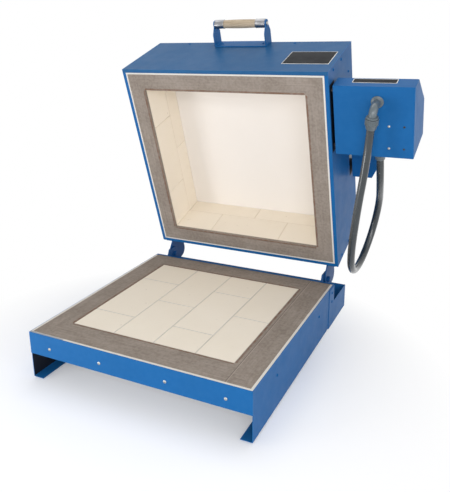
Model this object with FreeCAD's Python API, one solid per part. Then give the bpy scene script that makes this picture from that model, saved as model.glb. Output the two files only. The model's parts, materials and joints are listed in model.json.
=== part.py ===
import FreeCAD, Part
import math
import os

# A clamshell glass fusing kiln, in millimetres.
# X runs to the viewer's right, Y away from the viewer, Z up. The floor is z = 0.
# The base is centred on x = y = 0 while it is built. Lid pieces are built with the lid shut,
# then turned open about the hinge axis, because the kiln is stored with its lid open.
# Everything is moved at the end so that the outline of the whole kiln is centred over the origin.
# On the lid, u is a distance forward from the rear wall and v a height above the rim.

V = FreeCAD.Vector

# Main sizes
CASE = 604.0
HALF = CASE / 2
SHEET = 1.5
FOOT_H = 4.0
BASE_H = 126.0
BASE_TOP = FOOT_H + BASE_H
FRONT_H = 57.0
PAN_Z = BASE_TOP - FRONT_H
SEAL_GAP = 0.8
RIM_Z = BASE_TOP + SEAL_GAP
CHAMBER_D = 160.0
ROOF_D = 65.0
LID_D = CHAMBER_D + ROOF_D
LID_TOP = RIM_Z + LID_D
OPEN_DEG = 72.0

# Fits
FACE_GAP = 0.2
CURVE_GAP = 0.3
PRESS_GAP = 0.02

# Walls and linings
LINING_OUT = HALF - 2 * SHEET
FIBRE_T = 4.5
BRICK_OUT = LINING_OUT - FIBRE_T
PAN_WALL_H = 44.0
PAN_LIP = 16.0
RIM_LIP = 10.0
RIM_T = 8.0
LID_OPEN = 480.0
OPEN_HALF = LID_OPEN / 2
COURSE_1 = 101.6
BOARD_T = 25.0
BRICK_L = 228.6
BRICK_W = 114.3
BRICK_GAP = 0.5
BRICK_EASE = 0.8
FLOOR_T = 50.8
FLOOR_SINK = 0.3
FLOOR_LEFT = 230.0
FLOOR_RIGHT = 222.0
FLOOR_FRONT = 218.5
FLOOR_REAR = 223.5
FLOOR_JOINT_X = 8.0
FLOOR_JOINT_Y = 124.4

# Roof panel: its skirt stands inside the walls, over the tabs that join them
SKIRT_V = CHAMBER_D + 15.0
TAB_GAP = 2.0
TAB_W = 20.5
ROOF_EASE = 1.0

# Base panels, rear stand and feet
FOLD_R = 2.5
LEG_LIP = 30.0
STAND_BACK = 132.0
STAND_H = 71.0
STAND_LIP = 20.0
STAND_EASE = 2.0
TAB_L = 46.0
TAB_H = 121.0
FOOT_R = 9.0
FOOT_IN = 15.0
FOOT_Y = 240.0
FOOT_REAR = 26.0

# Fasteners
SCREW_R = 2.0
SCREW_GAP = 0.2
SCREW_SIDES = 6
HEAD_SIDES = 10
BOLT_R = 3.0
BOLT_SIDES = 8
ROUND_SIDES = 24

# Hinge
PIVOT_BACK = 45.2
PIVOT_DROP = 8.5
PIVOT_Y = HALF + PIVOT_BACK
PIVOT_Z = BASE_TOP - PIVOT_DROP
HINGE_X = 266.0
HINGE_GAP = 1.0
PLATE_T = 4.0
FLANGE_W = 26.0
FLANGE_BOLT = 9.0
PIN_R = 5.0
PIN_PLAY = 0.05
WASHER_T = 0.8
NUT_T = 7.0
STOP_R = 5.0
STOP_ALONG = 24.0
ARM_CORNERS = [(-PIVOT_BACK, 12.5), (-PIVOT_BACK, 71.0), (43.0, 71.0),
               (43.0, 34.0), (20.0, -20.0), (-20.0, -20.0)]
ARM_RADII = [2, 4, 25, 14, 18, 18]
BRACKET_CORNERS = [(-PIVOT_BACK, -44.0), (-PIVOT_BACK, 4.5), (-40.0, 11.5), (-34.0, 24.5), (4.0, 24.5),
                   (25.0, 10.0), (38.0, -18.0), (40.0, -36.0), (28.0, -47.0)]
BRACKET_RADII = [2, 2, 3, 4, 10, 12, 12, 9, 9]

# Handle
HANDLE_X = -9.0
HANDLE_L = 162.0
HANDLE_Z = LID_TOP - 21.0
HANDLE_W = 44.0
HANDLE_T = 3.0
HANDLE_SCREW = 64.0
EAR_W = 22.0
EAR_TOP = 11.0
EAR_NECK = 6.0
EAR_FOOT = 24.0
GRIP_OUT = 60.0
GRIP_R = 12.3
GRIP_SWELL = 0.5
FERRULE_L = 22.0
FERRULE_T = 1.0
FERRULE_END = 2.0
ROD_R = 3.0

# Heating element and terminals
ELEMENT_V = CHAMBER_D + 12.5
ELEMENT_W = 6.0
ELEMENT_PITCH = 55.0
ELEMENT_RUNS = 8
ELEMENT_LEFT = 235.0
ELEMENT_RIGHT = 225.0
LEAD_X = 265.0
TERMINAL_Y = 20.0
TERMINAL_R = 2.4
TERMINAL_L = 44.0
BUSHING_R = 6.0
BUSHING_HEAD_R = 8.0

# Temperature sensor
SENSOR_U = 470.0
SENSOR_V = 60.0
SENSOR_R = 3.0
SENSOR_IN = 20.0
SENSOR_L = 96.0

# Control box, on the right of the lid
BOX_GAP = 8.0
BOX_LEFT = HALF + BOX_GAP
BOX_L = 196.0
BOX_RIGHT = BOX_LEFT + BOX_L
BOX_LOW = 5.6
BOX_KNEE = 57.0
BOX_HIGH = CHAMBER_D - 11.0
BOX_BACK = 378.0
BOX_FRONT = 567.0
BOX_SHOULDER = 479.0
BOX_LIP = 13.0
BOX_TAB = 36.0
BOX_SCREW_FRONT = 464.0
BOX_SCREW_REAR = 403.5
BOX_SCREW_IN = 23.5
BOX_SCREW_MID = 60.0

# Sloped face of the control box: s runs up the slope
KEY_W = 16.0
KEY_H = 11.0
KEY_PITCH = 26.0
KEY_OUT = 2.0
KEY_DEEP = 4.5
KEY_SKIRT = 1.5
KEY_TRAVEL = 1.0
KEY_COUNT = 3
KEY_S = 42.0
FASCIA_MID = BOX_LEFT + 84.0
DISPLAY_W = 72.0
DISPLAY_H = 30.0
DISPLAY_S = 74.0
WINDOW_T = 1.6
WINDOW_DEEP = 9.0
WINDOW_RIM = 2.0
SWITCH_X = BOX_RIGHT - 34.0
SWITCH_S = 52.0
SWITCH_W = 22.0
SWITCH_H = 30.0
SWITCH_RIM = 2.0
SWITCH_DEEP = 18.0
ROCKER_DROP = 3.0
ROCKER_AXLE_R = 1.5
ROCKER_TIP = 9.0
FUSE_S = 92.0
FUSE_R = 6.4
BOARD_DROP = 16.0
LAMINATE_T = 1.6

# Terminal cover, behind the control box
COVER_RIGHT = 380.0
COVER_BACK = 218.5
COVER_FRONT = 400.0
COVER_LOW = CHAMBER_D + 1.0
COVER_HIGH = CHAMBER_D + 61.0
COVER_CUT_X = 13.5
COVER_CUT_Y = 27.0

# Blank plates
PLATE_THIN = 0.8
LID_PLATE = (163.0, 289.0, 51.0, 141.0)
BOX_PLATE = (352.0, 460.0, 26.0, 52.0)

# Conduit and its fittings
HOSE_R = 10.0
THROAT_R = 10.5
ELBOW_X = 418.5
ELBOW_U = 528.0
ELBOW_DROP = 45.0
ELBOW_TURN = 7.0
ELBOW_BEND = 18.0
ELBOW_LEG = 40.0
COLLAR_T = 5.0
NUT_L = 28.0
NUT_R = 19.0
NUT_SIDES = 12
GLAND_X = 414.0
GLAND_V = 55.0
GLAND_LEG = 17.0
HOSE_ROUTE = [
    (408.0, 167.0, 578.0), (400.0, 172.0, 500.0), (386.0, 178.0, 400.0), (372.0, 187.0, 265.0),
    (364.0, 256.0, 189.0), (366.0, 357.0, 193.0), (380.0, 419.0, 268.0), (397.0, 408.0, 361.0),
    (411.0, 326.0, 434.0), (414.0, 296.0, 487.0),
]

LEFT_RIGHT = (-1, 1)
TO_RIGHT = (1, 0, 0)
TO_REAR = (0, 1, 0)
UPWARD = (0, 0, 1)


# Shapes

def box(x0, x1, y0, y1, z0, z1):
    """Block between two values on each axis, given in either order."""
    low = V(min(x0, x1), min(y0, y1), min(z0, z1))
    return Part.makeBox(abs(x1 - x0), abs(y1 - y0), abs(z1 - z0), low)


def rod(radius, start, direction, length):
    return Part.makeCylinder(radius, length, V(*start), V(*direction))


def faceted(profile, sides, start, direction):
    """Solid of flat faces through rings of (corner radius, height), standing on start along direction."""
    rings = []
    for radius, height in profile:
        ring = []
        for i in range(sides):
            angle = 2 * math.pi * i / sides
            ring.append(V(radius * math.cos(angle), radius * math.sin(angle), height))
        rings.append(ring)
    faces = [Part.Face(Part.makePolygon(ring + ring[:1])) for ring in (rings[0], rings[-1])]
    for lower, upper in zip(rings, rings[1:]):
        for i in range(sides):
            k = (i + 1) % sides
            faces.append(Part.Face(Part.makePolygon([lower[i], lower[k], upper[k], upper[i], lower[i]])))
    shell = Part.makeShell(faces)
    shell.sewShape()
    solid = Part.Solid(shell)
    if solid.Volume < 0:
        solid.reverse()
    solid = solid.removeSplitter()
    solid.Placement = FreeCAD.Placement(V(*start), FreeCAD.Rotation(V(0, 0, 1), V(*direction)))
    return solid


def prism(radius, sides, start, direction, length):
    return faceted([(radius, 0), (radius, length)], sides, start, direction)


def hexagon(across, start, direction, length):
    return prism(across / math.sqrt(3), 6, start, direction, length)


def cut_all(shape, tools):
    for tool in tools:
        shape = shape.cut(tool)
    return shape


def join(shapes):
    whole = shapes[0]
    for other in shapes[1:]:
        whole = whole.fuse(other)
    return whole.removeSplitter()


def shift(point, direction, amount):
    return tuple(point[i] + direction[i] * amount for i in range(3))


def reverse(direction):
    return tuple(-c for c in direction)


def corner_arc(points, i, radius):
    """Start, middle and end of the arc that rounds corner i of a row of points."""
    here = points[i]
    to_back = (points[i - 1] - here).normalize()
    to_ahead = (points[(i + 1) % len(points)] - here).normalize()
    half = to_back.getAngle(to_ahead) / 2
    reach = radius / math.tan(half)
    middle_way = (to_back + to_ahead).normalize()
    centre = here + middle_way * (radius / math.sin(half))
    return here + to_back * reach, centre - middle_way * radius, here + to_ahead * reach


def outline(points, radii):
    """Closed wire through 2D points, each corner rounded by its own radius."""
    flat = [V(p[0], p[1], 0) for p in points]
    corners = []
    for i in range(len(flat)):
        if radii[i] > 0:
            corners.append(corner_arc(flat, i, radii[i]))
        else:
            corners.append((flat[i], None, flat[i]))
    edges = []
    for i in range(len(corners)):
        start, middle, end = corners[i]
        if middle is not None:
            edges.append(Part.Arc(start, middle, end).toShape())
        following = corners[(i + 1) % len(corners)][0]
        if (following - end).Length > 1e-6:
            edges.append(Part.LineSegment(end, following).toShape())
    return Part.Wire(edges)


def plate(points, radii, axis, low, high):
    """Flat plate: an outline in the plane square to the axis, thick from low to high along it.

    For axis X the points are (y, z), for Y (x, z) and for Z (x, y).
    """
    if isinstance(radii, (int, float)):
        radii = [radii] * len(points)
    solid = Part.Face(outline(points, radii)).extrude(V(0, 0, high - low))
    solid.translate(V(0, 0, low))
    if axis == "X":
        solid.rotate(V(0, 0, 0), V(1, 1, 1), 120)
    if axis == "Y":
        solid.rotate(V(0, 0, 0), V(1, 0, 0), 90)
        solid.translate(V(0, low + high, 0))
    return solid


def rectangle(x0, x1, z0, z1):
    return [(x0, z0), (x1, z0), (x1, z1), (x0, z1)]


def path_wire(points, radii):
    """Open path of straight runs joined by tangent arcs."""
    ends = [(points[0], None, points[0])]
    for i in range(1, len(points) - 1):
        ends.append(corner_arc(points, i, radii[i - 1]))
    ends.append((points[-1], None, points[-1]))
    edges = []
    for i in range(len(ends)):
        start, middle, end = ends[i]
        if middle is not None:
            edges.append(Part.Arc(start, middle, end).toShape())
        if i + 1 < len(ends):
            edges.append(Part.LineSegment(end, ends[i + 1][0]).toShape())
    return Part.Wire(edges)


def tube(points, radii, radius):
    """Solid round bar along a path, and the path's length."""
    path = path_wire(points, radii)
    along = (points[1] - points[0]).normalize()
    ring = Part.Wire([Part.Circle(points[0], along, radius).toShape()])
    return path.makePipeShell([ring], True, False), path.Length


def ease(solid, size):
    """Chamfers every edge of a block."""
    return solid.makeChamfer(size, solid.Edges)


def frame_ring(outer, inner, low, high):
    room = box(-inner, inner, -inner, inner, low - 1.0, high + 1.0)
    return box(-outer, outer, -outer, outer, low, high).cut(room)


# Fasteners: each returns its solid and the shape of the hole that it needs

def pan_screw(seat, outward, reach):
    """Pan-head screw: its head sits on the seat point, its shank runs inward by reach."""
    head_r = SCREW_R * 2
    head_h = SCREW_R * 1.1
    inward = reverse(outward)
    profile = [(head_r, 0), (head_r, head_h * 0.45), (head_r * 0.62, head_h)]
    head = faceted(profile, HEAD_SIDES, seat, outward)
    shank = prism(SCREW_R, SCREW_SIDES, seat, inward, reach)
    hole = prism(SCREW_R + SCREW_GAP, SCREW_SIDES, shift(seat, outward, 1), inward, reach + 2)
    return join([head, shank]), hole


def hex_bolt(seat, outward, reach):
    inward = reverse(outward)
    head = hexagon(BOLT_R * 3.3, seat, outward, BOLT_R * 1.3)
    shank = prism(BOLT_R, BOLT_SIDES, seat, inward, reach)
    hole = prism(BOLT_R + SCREW_GAP, BOLT_SIDES, shift(seat, outward, 1), inward, reach + 2)
    return join([head, shank]), hole


# Base

def base_side(side):
    """Leg panel: an upright with a foot lip turned inward."""
    out = side * HALF
    inner = side * (HALF - SHEET)
    tip = side * (HALF - LEG_LIP)
    lip_top = FOOT_H + SHEET
    points = [(out, FOOT_H), (out, BASE_TOP), (inner, BASE_TOP), (inner, lip_top), (tip, lip_top),
              (tip, FOOT_H)]
    return plate(points, [FOLD_R, 0, 0, FOLD_R - SHEET, 0, 0], "Y", -HALF + SHEET, HALF - SHEET)


def base_front():
    """Front panel with a narrow lip under the pan, between the leg panels."""
    inside = HALF - SHEET
    face = box(-HALF, HALF, -HALF, -inside, PAN_Z - SHEET, BASE_TOP)
    lip = box(-inside, inside, -inside, -HALF + PAN_LIP, PAN_Z - SHEET, PAN_Z)
    return join([face, lip])


def base_back():
    """Back panel with a lip over the lining and a lip under the pan."""
    inside = HALF - SHEET
    face = box(-HALF, HALF, inside, HALF, PAN_Z - SHEET, BASE_TOP)
    upper = box(-inside, inside, HALF - RIM_LIP, inside, BASE_TOP - SHEET, BASE_TOP)
    lower = box(-inside, inside, HALF - PAN_LIP, inside, PAN_Z - SHEET, PAN_Z)
    return join([face, upper, lower])


def base_pan():
    """Shallow tray inside the panels that carries the lining."""
    out = HALF - SHEET
    top = PAN_Z + PAN_WALL_H
    tray = box(-out, out, -out, out, PAN_Z, top)
    return tray.cut(box(-LINING_OUT, LINING_OUT, -LINING_OUT, LINING_OUT, PAN_Z + SHEET, top + 1))


def lip_room():
    """Space that the back panel's upper lip takes out of the lining."""
    return box(-HALF, HALF, HALF - RIM_LIP - FACE_GAP, HALF, BASE_TOP - SHEET, BASE_TOP + 1)


def base_fibre():
    """Fibre lining: a sheet under the bricks with a wall that shows as a thin line round the rim."""
    wall_top = PAN_Z + PAN_WALL_H
    out = LINING_OUT
    edge = HALF - SHEET
    lower = box(-out, out, -out, out, PAN_Z + SHEET, wall_top)
    upper = box(-edge, edge, -edge, edge, wall_top, BASE_TOP)
    room = box(-BRICK_OUT, BRICK_OUT, -BRICK_OUT, BRICK_OUT, BASE_TOP - FLOOR_T, BASE_TOP + 1)
    return join([lower, upper]).cut(room).cut(lip_room())


def base_rim():
    """Four grey rim strips; the left and right ones run the full depth."""
    low = BASE_TOP - FLOOR_T
    out = BRICK_OUT
    strips = [
        box(-out, -FLOOR_LEFT, -out, out, low, BASE_TOP),
        box(FLOOR_RIGHT, out, -out, out, low, BASE_TOP),
        box(-FLOOR_LEFT, FLOOR_RIGHT, -out, -FLOOR_FRONT, low, BASE_TOP),
        box(-FLOOR_LEFT, FLOOR_RIGHT, FLOOR_REAR, out, low, BASE_TOP),
    ]
    return [strip.cut(lip_room()) for strip in strips]


def floor_bricks():
    """Hearth bricks in four columns, with the cross joints staggered by half a brick."""
    middle = FLOOR_JOINT_X
    edges_x = [-FLOOR_LEFT, middle - BRICK_W, middle, middle + BRICK_W, FLOOR_RIGHT]
    first = -FLOOR_JOINT_Y
    rows = [[-FLOOR_FRONT, first, first + BRICK_L, FLOOR_REAR], [-FLOOR_FRONT, first + BRICK_W, FLOOR_REAR]]
    gap = BRICK_GAP / 2
    low = BASE_TOP - FLOOR_T
    high = BASE_TOP - FLOOR_SINK
    bricks = []
    for column in range(len(edges_x) - 1):
        x0 = edges_x[column] + gap
        x1 = edges_x[column + 1] - gap
        edges_y = rows[column % 2]
        for y0, y1 in zip(edges_y, edges_y[1:]):
            bricks.append(ease(box(x0, x1, y0 + gap, y1 - gap, low, high), BRICK_EASE))
    return bricks


def rear_stand():
    """Open tray behind the base that keeps the kiln from tipping back: arms, a rear wall and foot lips."""
    out = HALF + SHEET
    back = HALF + STAND_BACK
    front = HALF - TAB_L
    low = FOOT_H
    top = FOOT_H + STAND_H
    tab_top = FOOT_H + TAB_H
    step = HALF + 2.0
    points = [(front, low), (back, low), (back, top), (step, top), (step, tab_top), (front, tab_top)]
    pieces = [box(-out, out, back - SHEET, back, low, top)]
    for side in LEFT_RIGHT:
        near = min(side * HALF, side * out)
        pieces.append(plate(points, [0, 0, 0, 0, STAND_EASE, STAND_EASE], "X", near, near + SHEET))
        pieces.append(box(side * out, side * (out - LEG_LIP), step, back, low, low + SHEET))
    pieces.append(box(-out, out, back - STAND_LIP, back, low, low + SHEET))
    return join(pieces)


def feet():
    """Rubber feet under the leg lips."""
    profile = [(FOOT_R - 1.2, 0), (FOOT_R, FOOT_H * 0.4), (FOOT_R, FOOT_H)]
    solids = []
    for side in LEFT_RIGHT:
        for y in (-FOOT_Y, FOOT_Y, HALF + STAND_BACK - FOOT_REAR):
            solids.append(faceted(profile, ROUND_SIDES // 2, (side * (HALF - FOOT_IN), y, 0), UPWARD))
    return solids


def base_screw_places():
    """Seat, outward direction, shank reach and holed nodes of each screw of the base."""
    two_sheets = 2 * SHEET - FACE_GAP / 2
    three_sheets = 3 * SHEET - FACE_GAP / 2
    places = []
    for x in (-240.0, -90.0, 90.0, 240.0):
        z = BASE_TOP - 35.0
        places.append(((x, -HALF, z), (0, -1, 0), two_sheets, ("base_front_panel", "base_pan")))
        places.append(((x * 0.75, HALF, z), TO_REAR, two_sheets, ("base_back_panel", "base_pan")))
    for side, panel in ((-1, "base_left_panel"), (1, "base_right_panel")):
        out = (side, 0, 0)
        for y in (-160.0, 160.0):
            places.append(((side * HALF, y, BASE_TOP - 42.0), out, two_sheets, (panel, "base_pan")))
        tab_y = HALF - TAB_L / 2 + 2.0
        for z in (PAN_Z + 9.0, PAN_Z + 36.0):
            seat = (side * (HALF + SHEET), tab_y, z)
            places.append((seat, out, three_sheets, ("rear_stand", panel, "base_pan")))
    return places


def base_screws(base):
    screws = []
    for seat, out, reach, holed in base_screw_places():
        screw, hole = pan_screw(seat, out, reach)
        screws.append(screw)
        for node in holed:
            base[node] = base[node].cut(hole)
    return screws


# Hinge

def about_pivot(pairs):
    return [(PIVOT_Y + dy, PIVOT_Z + dz) for dy, dz in pairs]


def hinge_bracket(side):
    """Bracket on the back of the base: an upright plate and a flange bolted to the back panel."""
    outer = side * (HINGE_X - HINGE_GAP)
    inner = side * (HINGE_X - HINGE_GAP - PLATE_T)
    upright = plate(about_pivot(BRACKET_CORNERS), BRACKET_RADII, "X", min(inner, outer), max(inner, outer))
    tip = side * (HINGE_X - HINGE_GAP - FLANGE_W)
    flange = box(tip, outer, HALF, HALF + PLATE_T, PIVOT_Z - 40.0, BASE_TOP - 4.0)
    return join([upright, flange])


def hinge_arm(side):
    """Arm on the back of the lid: it swings on the pin, and its lower edge meets the stop when open."""
    inner = side * HINGE_X
    outer = side * (HINGE_X + PLATE_T)
    upright = plate(about_pivot(ARM_CORNERS), ARM_RADII, "X", min(inner, outer), max(inner, outer))
    flange = box(inner, side * (HINGE_X + FLANGE_W), HALF, HALF + PLATE_T, RIM_Z + 3.2, RIM_Z + 61.7)
    return join([upright, flange])


def stop_place():
    """Where the stop stands: just outside the arm's lower edge with the lid open, as (y, z)."""
    a = ARM_CORNERS[3]
    b = ARM_CORNERS[4]
    length = math.hypot(b[0] - a[0], b[1] - a[1])
    along = ((b[0] - a[0]) / length, (b[1] - a[1]) / length)
    away = (-along[1], along[0])
    dy = a[0] + along[0] * STOP_ALONG + away[0] * (STOP_R + FACE_GAP)
    dz = a[1] + along[1] * STOP_ALONG + away[1] * (STOP_R + FACE_GAP)
    turn = math.radians(OPEN_DEG)
    y = dy * math.cos(turn) + dz * math.sin(turn)
    z = -dy * math.sin(turn) + dz * math.cos(turn)
    return PIVOT_Y + y, PIVOT_Z + z


def hinge_pin(side):
    """Pivot bolt with its head inside, a washer between the plates, and its nut outside."""
    inner = side * (HINGE_X - HINGE_GAP - PLATE_T)
    outer = side * (HINGE_X + PLATE_T)
    out = (side, 0, 0)
    start = (inner, PIVOT_Y, PIVOT_Z)
    shank = rod(PIN_R, start, out, abs(outer - inner) + NUT_T + 1.4)
    head = hexagon(16.0, start, reverse(out), 6.0)
    washer = prism(PIN_R + 4.5, ROUND_SIDES // 2, shift(start, out, PLATE_T), out, WASHER_T)
    nut_seat = shift((outer, PIVOT_Y, PIVOT_Z), out, 2 * FACE_GAP)
    nut = hexagon(16.0, nut_seat, out, NUT_T).cut(rod(PIN_R, nut_seat, out, NUT_T + 1))
    return join([shank, head, washer]), nut


def lid_stop(side):
    inner = side * (HINGE_X - HINGE_GAP - PLATE_T)
    out = (side, 0, 0)
    start = (inner,) + stop_place()
    shank = rod(STOP_R, start, out, 2 * PLATE_T + HINGE_GAP + 2.0)
    return join([shank, hexagon(14.0, start, reverse(out), 5.0)])


def hinge_holes(side, radius, y, z):
    inner = side * (HINGE_X - HINGE_GAP - PLATE_T - 1.0)
    return rod(radius, (inner, y, z), (side, 0, 0), 2 * PLATE_T + HINGE_GAP + 3.0)


def hinges(base, lid):
    """Hinge plates with their pins, nuts, stops and bolts, both sides."""
    for name in ("hinge_pins", "hinge_nuts", "lid_stops", "bracket_bolts"):
        base[name] = []
    lid["arm_bolts"] = []
    reach = PLATE_T + 2 * SHEET - FACE_GAP / 2
    for side, word in ((-1, "left"), (1, "right")):
        bracket = hinge_bracket(side).cut(hinge_holes(side, PIN_R + PRESS_GAP, PIVOT_Y, PIVOT_Z))
        arm = hinge_arm(side).cut(hinge_holes(side, PIN_R + PIN_PLAY, PIVOT_Y, PIVOT_Z))
        bracket = bracket.cut(hinge_holes(side, STOP_R + PRESS_GAP, *stop_place()))
        pin, nut = hinge_pin(side)
        base["hinge_pins"].append(pin)
        base["hinge_nuts"].append(nut)
        base["lid_stops"].append(lid_stop(side))
        flange_x = side * (HINGE_X - HINGE_GAP - PLATE_T - FLANGE_BOLT)
        for z in (PAN_Z + 20.5, PAN_Z + PAN_WALL_H - 6.0):
            bolt, hole = hex_bolt((flange_x, HALF + PLATE_T, z), TO_REAR, reach)
            base["bracket_bolts"].append(bolt)
            bracket = bracket.cut(hole)
            for node in ("base_back_panel", "base_pan"):
                base[node] = base[node].cut(hole)
        flange_x = side * (HINGE_X + PLATE_T + FLANGE_BOLT + 4.0)
        for v in (18.0, 46.0):
            bolt, hole = hex_bolt((flange_x, HALF + PLATE_T, RIM_Z + v), TO_REAR, reach)
            lid["arm_bolts"].append(bolt)
            arm = arm.cut(hole)
            lid["lid_back_panel"] = lid["lid_back_panel"].cut(hole)
        base["hinge_bracket_" + word] = bracket
        lid["hinge_arm_" + word] = arm


# Lid, built shut

def y_of(u):
    return HALF - u


def z_of(v):
    return RIM_Z + v


def wall_profile(side):
    """Wall of the lid seen on end: an upright with the rim lip turned in."""
    out = side * HALF
    inner = side * (HALF - SHEET)
    lip = side * (HALF - RIM_LIP)
    top = LID_TOP - SHEET
    lip_top = RIM_Z + SHEET
    return [(out, RIM_Z), (out, top), (inner, top), (inner, lip_top), (lip, lip_top), (lip, RIM_Z)]


def lid_front_or_back(side):
    """Front or back wall of the lid, with a tab at each end behind the side walls."""
    pieces = [plate(wall_profile(side), 0, "X", -HALF + SHEET, HALF - SHEET)]
    near = side * (HALF - SHEET)
    for end in LEFT_RIGHT:
        pieces.append(box(end * LINING_OUT, end * (HALF - SHEET), near, near - side * TAB_W,
                          RIM_Z + RIM_T + 1.0, z_of(SKIRT_V - TAB_GAP)))
    return join(pieces)


def lid_side(side):
    """Side wall of the lid, with its rim lip stopped short of the front and back lips."""
    wall = plate(wall_profile(side), 0, "Y", -HALF, HALF)
    for end in LEFT_RIGHT:
        wall = wall.cut(box(side * (HALF - SHEET), side * (HALF - RIM_LIP - 1.0),
                            end * (HALF - RIM_LIP - FACE_GAP), end * (HALF + 1.0), RIM_Z - 1.0, RIM_Z + 5.0))
    return wall


def lid_roof():
    """Roof panel: a flat top whose edges turn down inside the walls."""
    under = LID_TOP - SHEET
    top = box(-HALF, HALF, -HALF, HALF, under, LID_TOP)
    upper_edges = [e for e in top.Edges if e.BoundBox.ZMin > LID_TOP - 0.01]
    top = top.makeChamfer(ROOF_EASE, upper_edges)
    return join([top, frame_ring(HALF - SHEET, LINING_OUT, z_of(SKIRT_V), under)])


def lid_fibre():
    """Fibre round the bricks, thicker at the rim where it shows as a white line."""
    edge_in = HALF - RIM_LIP - FIBRE_T
    rim = frame_ring(HALF - SHEET, edge_in, RIM_Z + SHEET, RIM_Z + RIM_T)
    show = frame_ring(HALF - RIM_LIP - FACE_GAP, edge_in, RIM_Z, RIM_Z + SHEET)
    wall = frame_ring(LINING_OUT, BRICK_OUT, RIM_Z + RIM_T, z_of(CHAMBER_D))
    return join([rim, show, wall])


def lid_rim():
    """Four grey strips on the bricks' rim face."""
    inner = OPEN_HALF
    outer = HALF - RIM_LIP - FIBRE_T
    strips = []
    for side in LEFT_RIGHT:
        strips.append(box(side * inner, side * outer, -outer, outer, RIM_Z, RIM_Z + RIM_T))
        strips.append(box(-inner, inner, side * inner, side * outer, RIM_Z, RIM_Z + RIM_T))
    return strips


def course(low, high, joints, long_on_x):
    """One course of wall bricks: two walls run the full width and two stand between them."""
    gap = BRICK_GAP / 2
    full_edges = [-BRICK_OUT] + joints + [BRICK_OUT]
    short_edges = [-OPEN_HALF] + joints + [OPEN_HALF]
    bricks = []
    for side in LEFT_RIGHT:
        near = side * OPEN_HALF
        far = side * BRICK_OUT
        for edges, on_x in ((full_edges, long_on_x), (short_edges, not long_on_x)):
            for a, b in zip(edges, edges[1:]):
                if on_x:
                    block = box(a + gap, b - gap, near, far, low + gap, high - gap)
                else:
                    block = box(near, far, a + gap, b - gap, low + gap, high - gap)
                bricks.append(ease(block, BRICK_EASE))
    return bricks


def lid_bricks():
    """Two courses of bricks with the joints staggered."""
    first = course(RIM_Z + RIM_T, z_of(COURSE_1), [-BRICK_W, BRICK_W], True)
    second = course(z_of(COURSE_1), z_of(CHAMBER_D), [0.0], False)
    return first + second


# Element, terminals and sensor

def element_points():
    """Corners of the element's path in X and Y: runs across the chamber, both ends at the right wall."""
    first = ELEMENT_PITCH * (ELEMENT_RUNS - 1) / 2
    rows = [first - ELEMENT_PITCH * i for i in range(ELEMENT_RUNS)]
    points = [(BRICK_OUT, TERMINAL_Y), (LEAD_X, TERMINAL_Y), (LEAD_X, rows[0])]
    for i in range(ELEMENT_RUNS - 1):
        x = -ELEMENT_LEFT if i % 2 == 0 else ELEMENT_RIGHT
        points += [(x, rows[i]), (x, rows[i + 1])]
    return points + [(LEAD_X, rows[-1]), (LEAD_X, -TERMINAL_Y), (BRICK_OUT, -TERMINAL_Y)]


def square_bar(points, width):
    """Bar of square section along a path of runs square to each other."""
    half = width / 2
    z = z_of(ELEMENT_V)
    pieces = []
    for (x0, y0), (x1, y1) in zip(points, points[1:]):
        pieces.append(box(min(x0, x1) - half, max(x0, x1) + half, min(y0, y1) - half, max(y0, y1) + half,
                          z - half, z + half))
    bar = pieces[0].multiFuse(pieces[1:]).removeSplitter()
    return bar.common(box(-BRICK_OUT, BRICK_OUT, -BRICK_OUT, BRICK_OUT, z - width, z + width))


def roof_lining(lid):
    """Board with the element in it, and the blanket above."""
    out = BRICK_OUT
    board = box(-out, out, -out, out, z_of(CHAMBER_D), z_of(CHAMBER_D + BOARD_T))
    element = square_bar(element_points(), ELEMENT_W)
    lid["lid_roof_board"] = board.cut(square_bar(element_points(), ELEMENT_W + 2 * CURVE_GAP))
    lid["heating_element"] = element
    lid["lid_roof_blanket"] = box(-out, out, -out, out, z_of(CHAMBER_D + BOARD_T), LID_TOP - SHEET - FACE_GAP)


def terminals(lid):
    """Terminal rods in ceramic bushings through the right wall, under the terminal cover."""
    rods = []
    bushings = []
    z = z_of(ELEMENT_V)
    for y in (-TERMINAL_Y, TERMINAL_Y):
        start = (BRICK_OUT, y, z)
        bar = prism(TERMINAL_R, BOLT_SIDES, start, TO_RIGHT, TERMINAL_L)
        nut = hexagon(8.0, shift(start, TO_RIGHT, TERMINAL_L - 10.0), TO_RIGHT, 8.0)
        rods.append(join([bar, nut]))
        neck = prism(BUSHING_R, NUT_SIDES, shift(start, TO_RIGHT, FACE_GAP), TO_RIGHT, 20.0)
        head_start = (HALF - 3 * SHEET + 1.3, y, z)
        head = prism(BUSHING_HEAD_R, NUT_SIDES, head_start, TO_RIGHT, 15.0)
        before = shift(start, TO_RIGHT, -1.0)
        bore = prism(TERMINAL_R + FACE_GAP, BOLT_SIDES, before, TO_RIGHT, TERMINAL_L + 10.0)
        bushings.append(join([neck, head]).cut(bore))
        hole = prism(BUSHING_HEAD_R + FACE_GAP, NUT_SIDES, start, TO_RIGHT, 30.0)
        for node in ("lid_right_panel", "lid_roof_panel", "terminal_plate"):
            lid[node] = lid[node].cut(hole)
    lid["terminal_rods"] = rods
    lid["terminal_bushings"] = bushings


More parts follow.
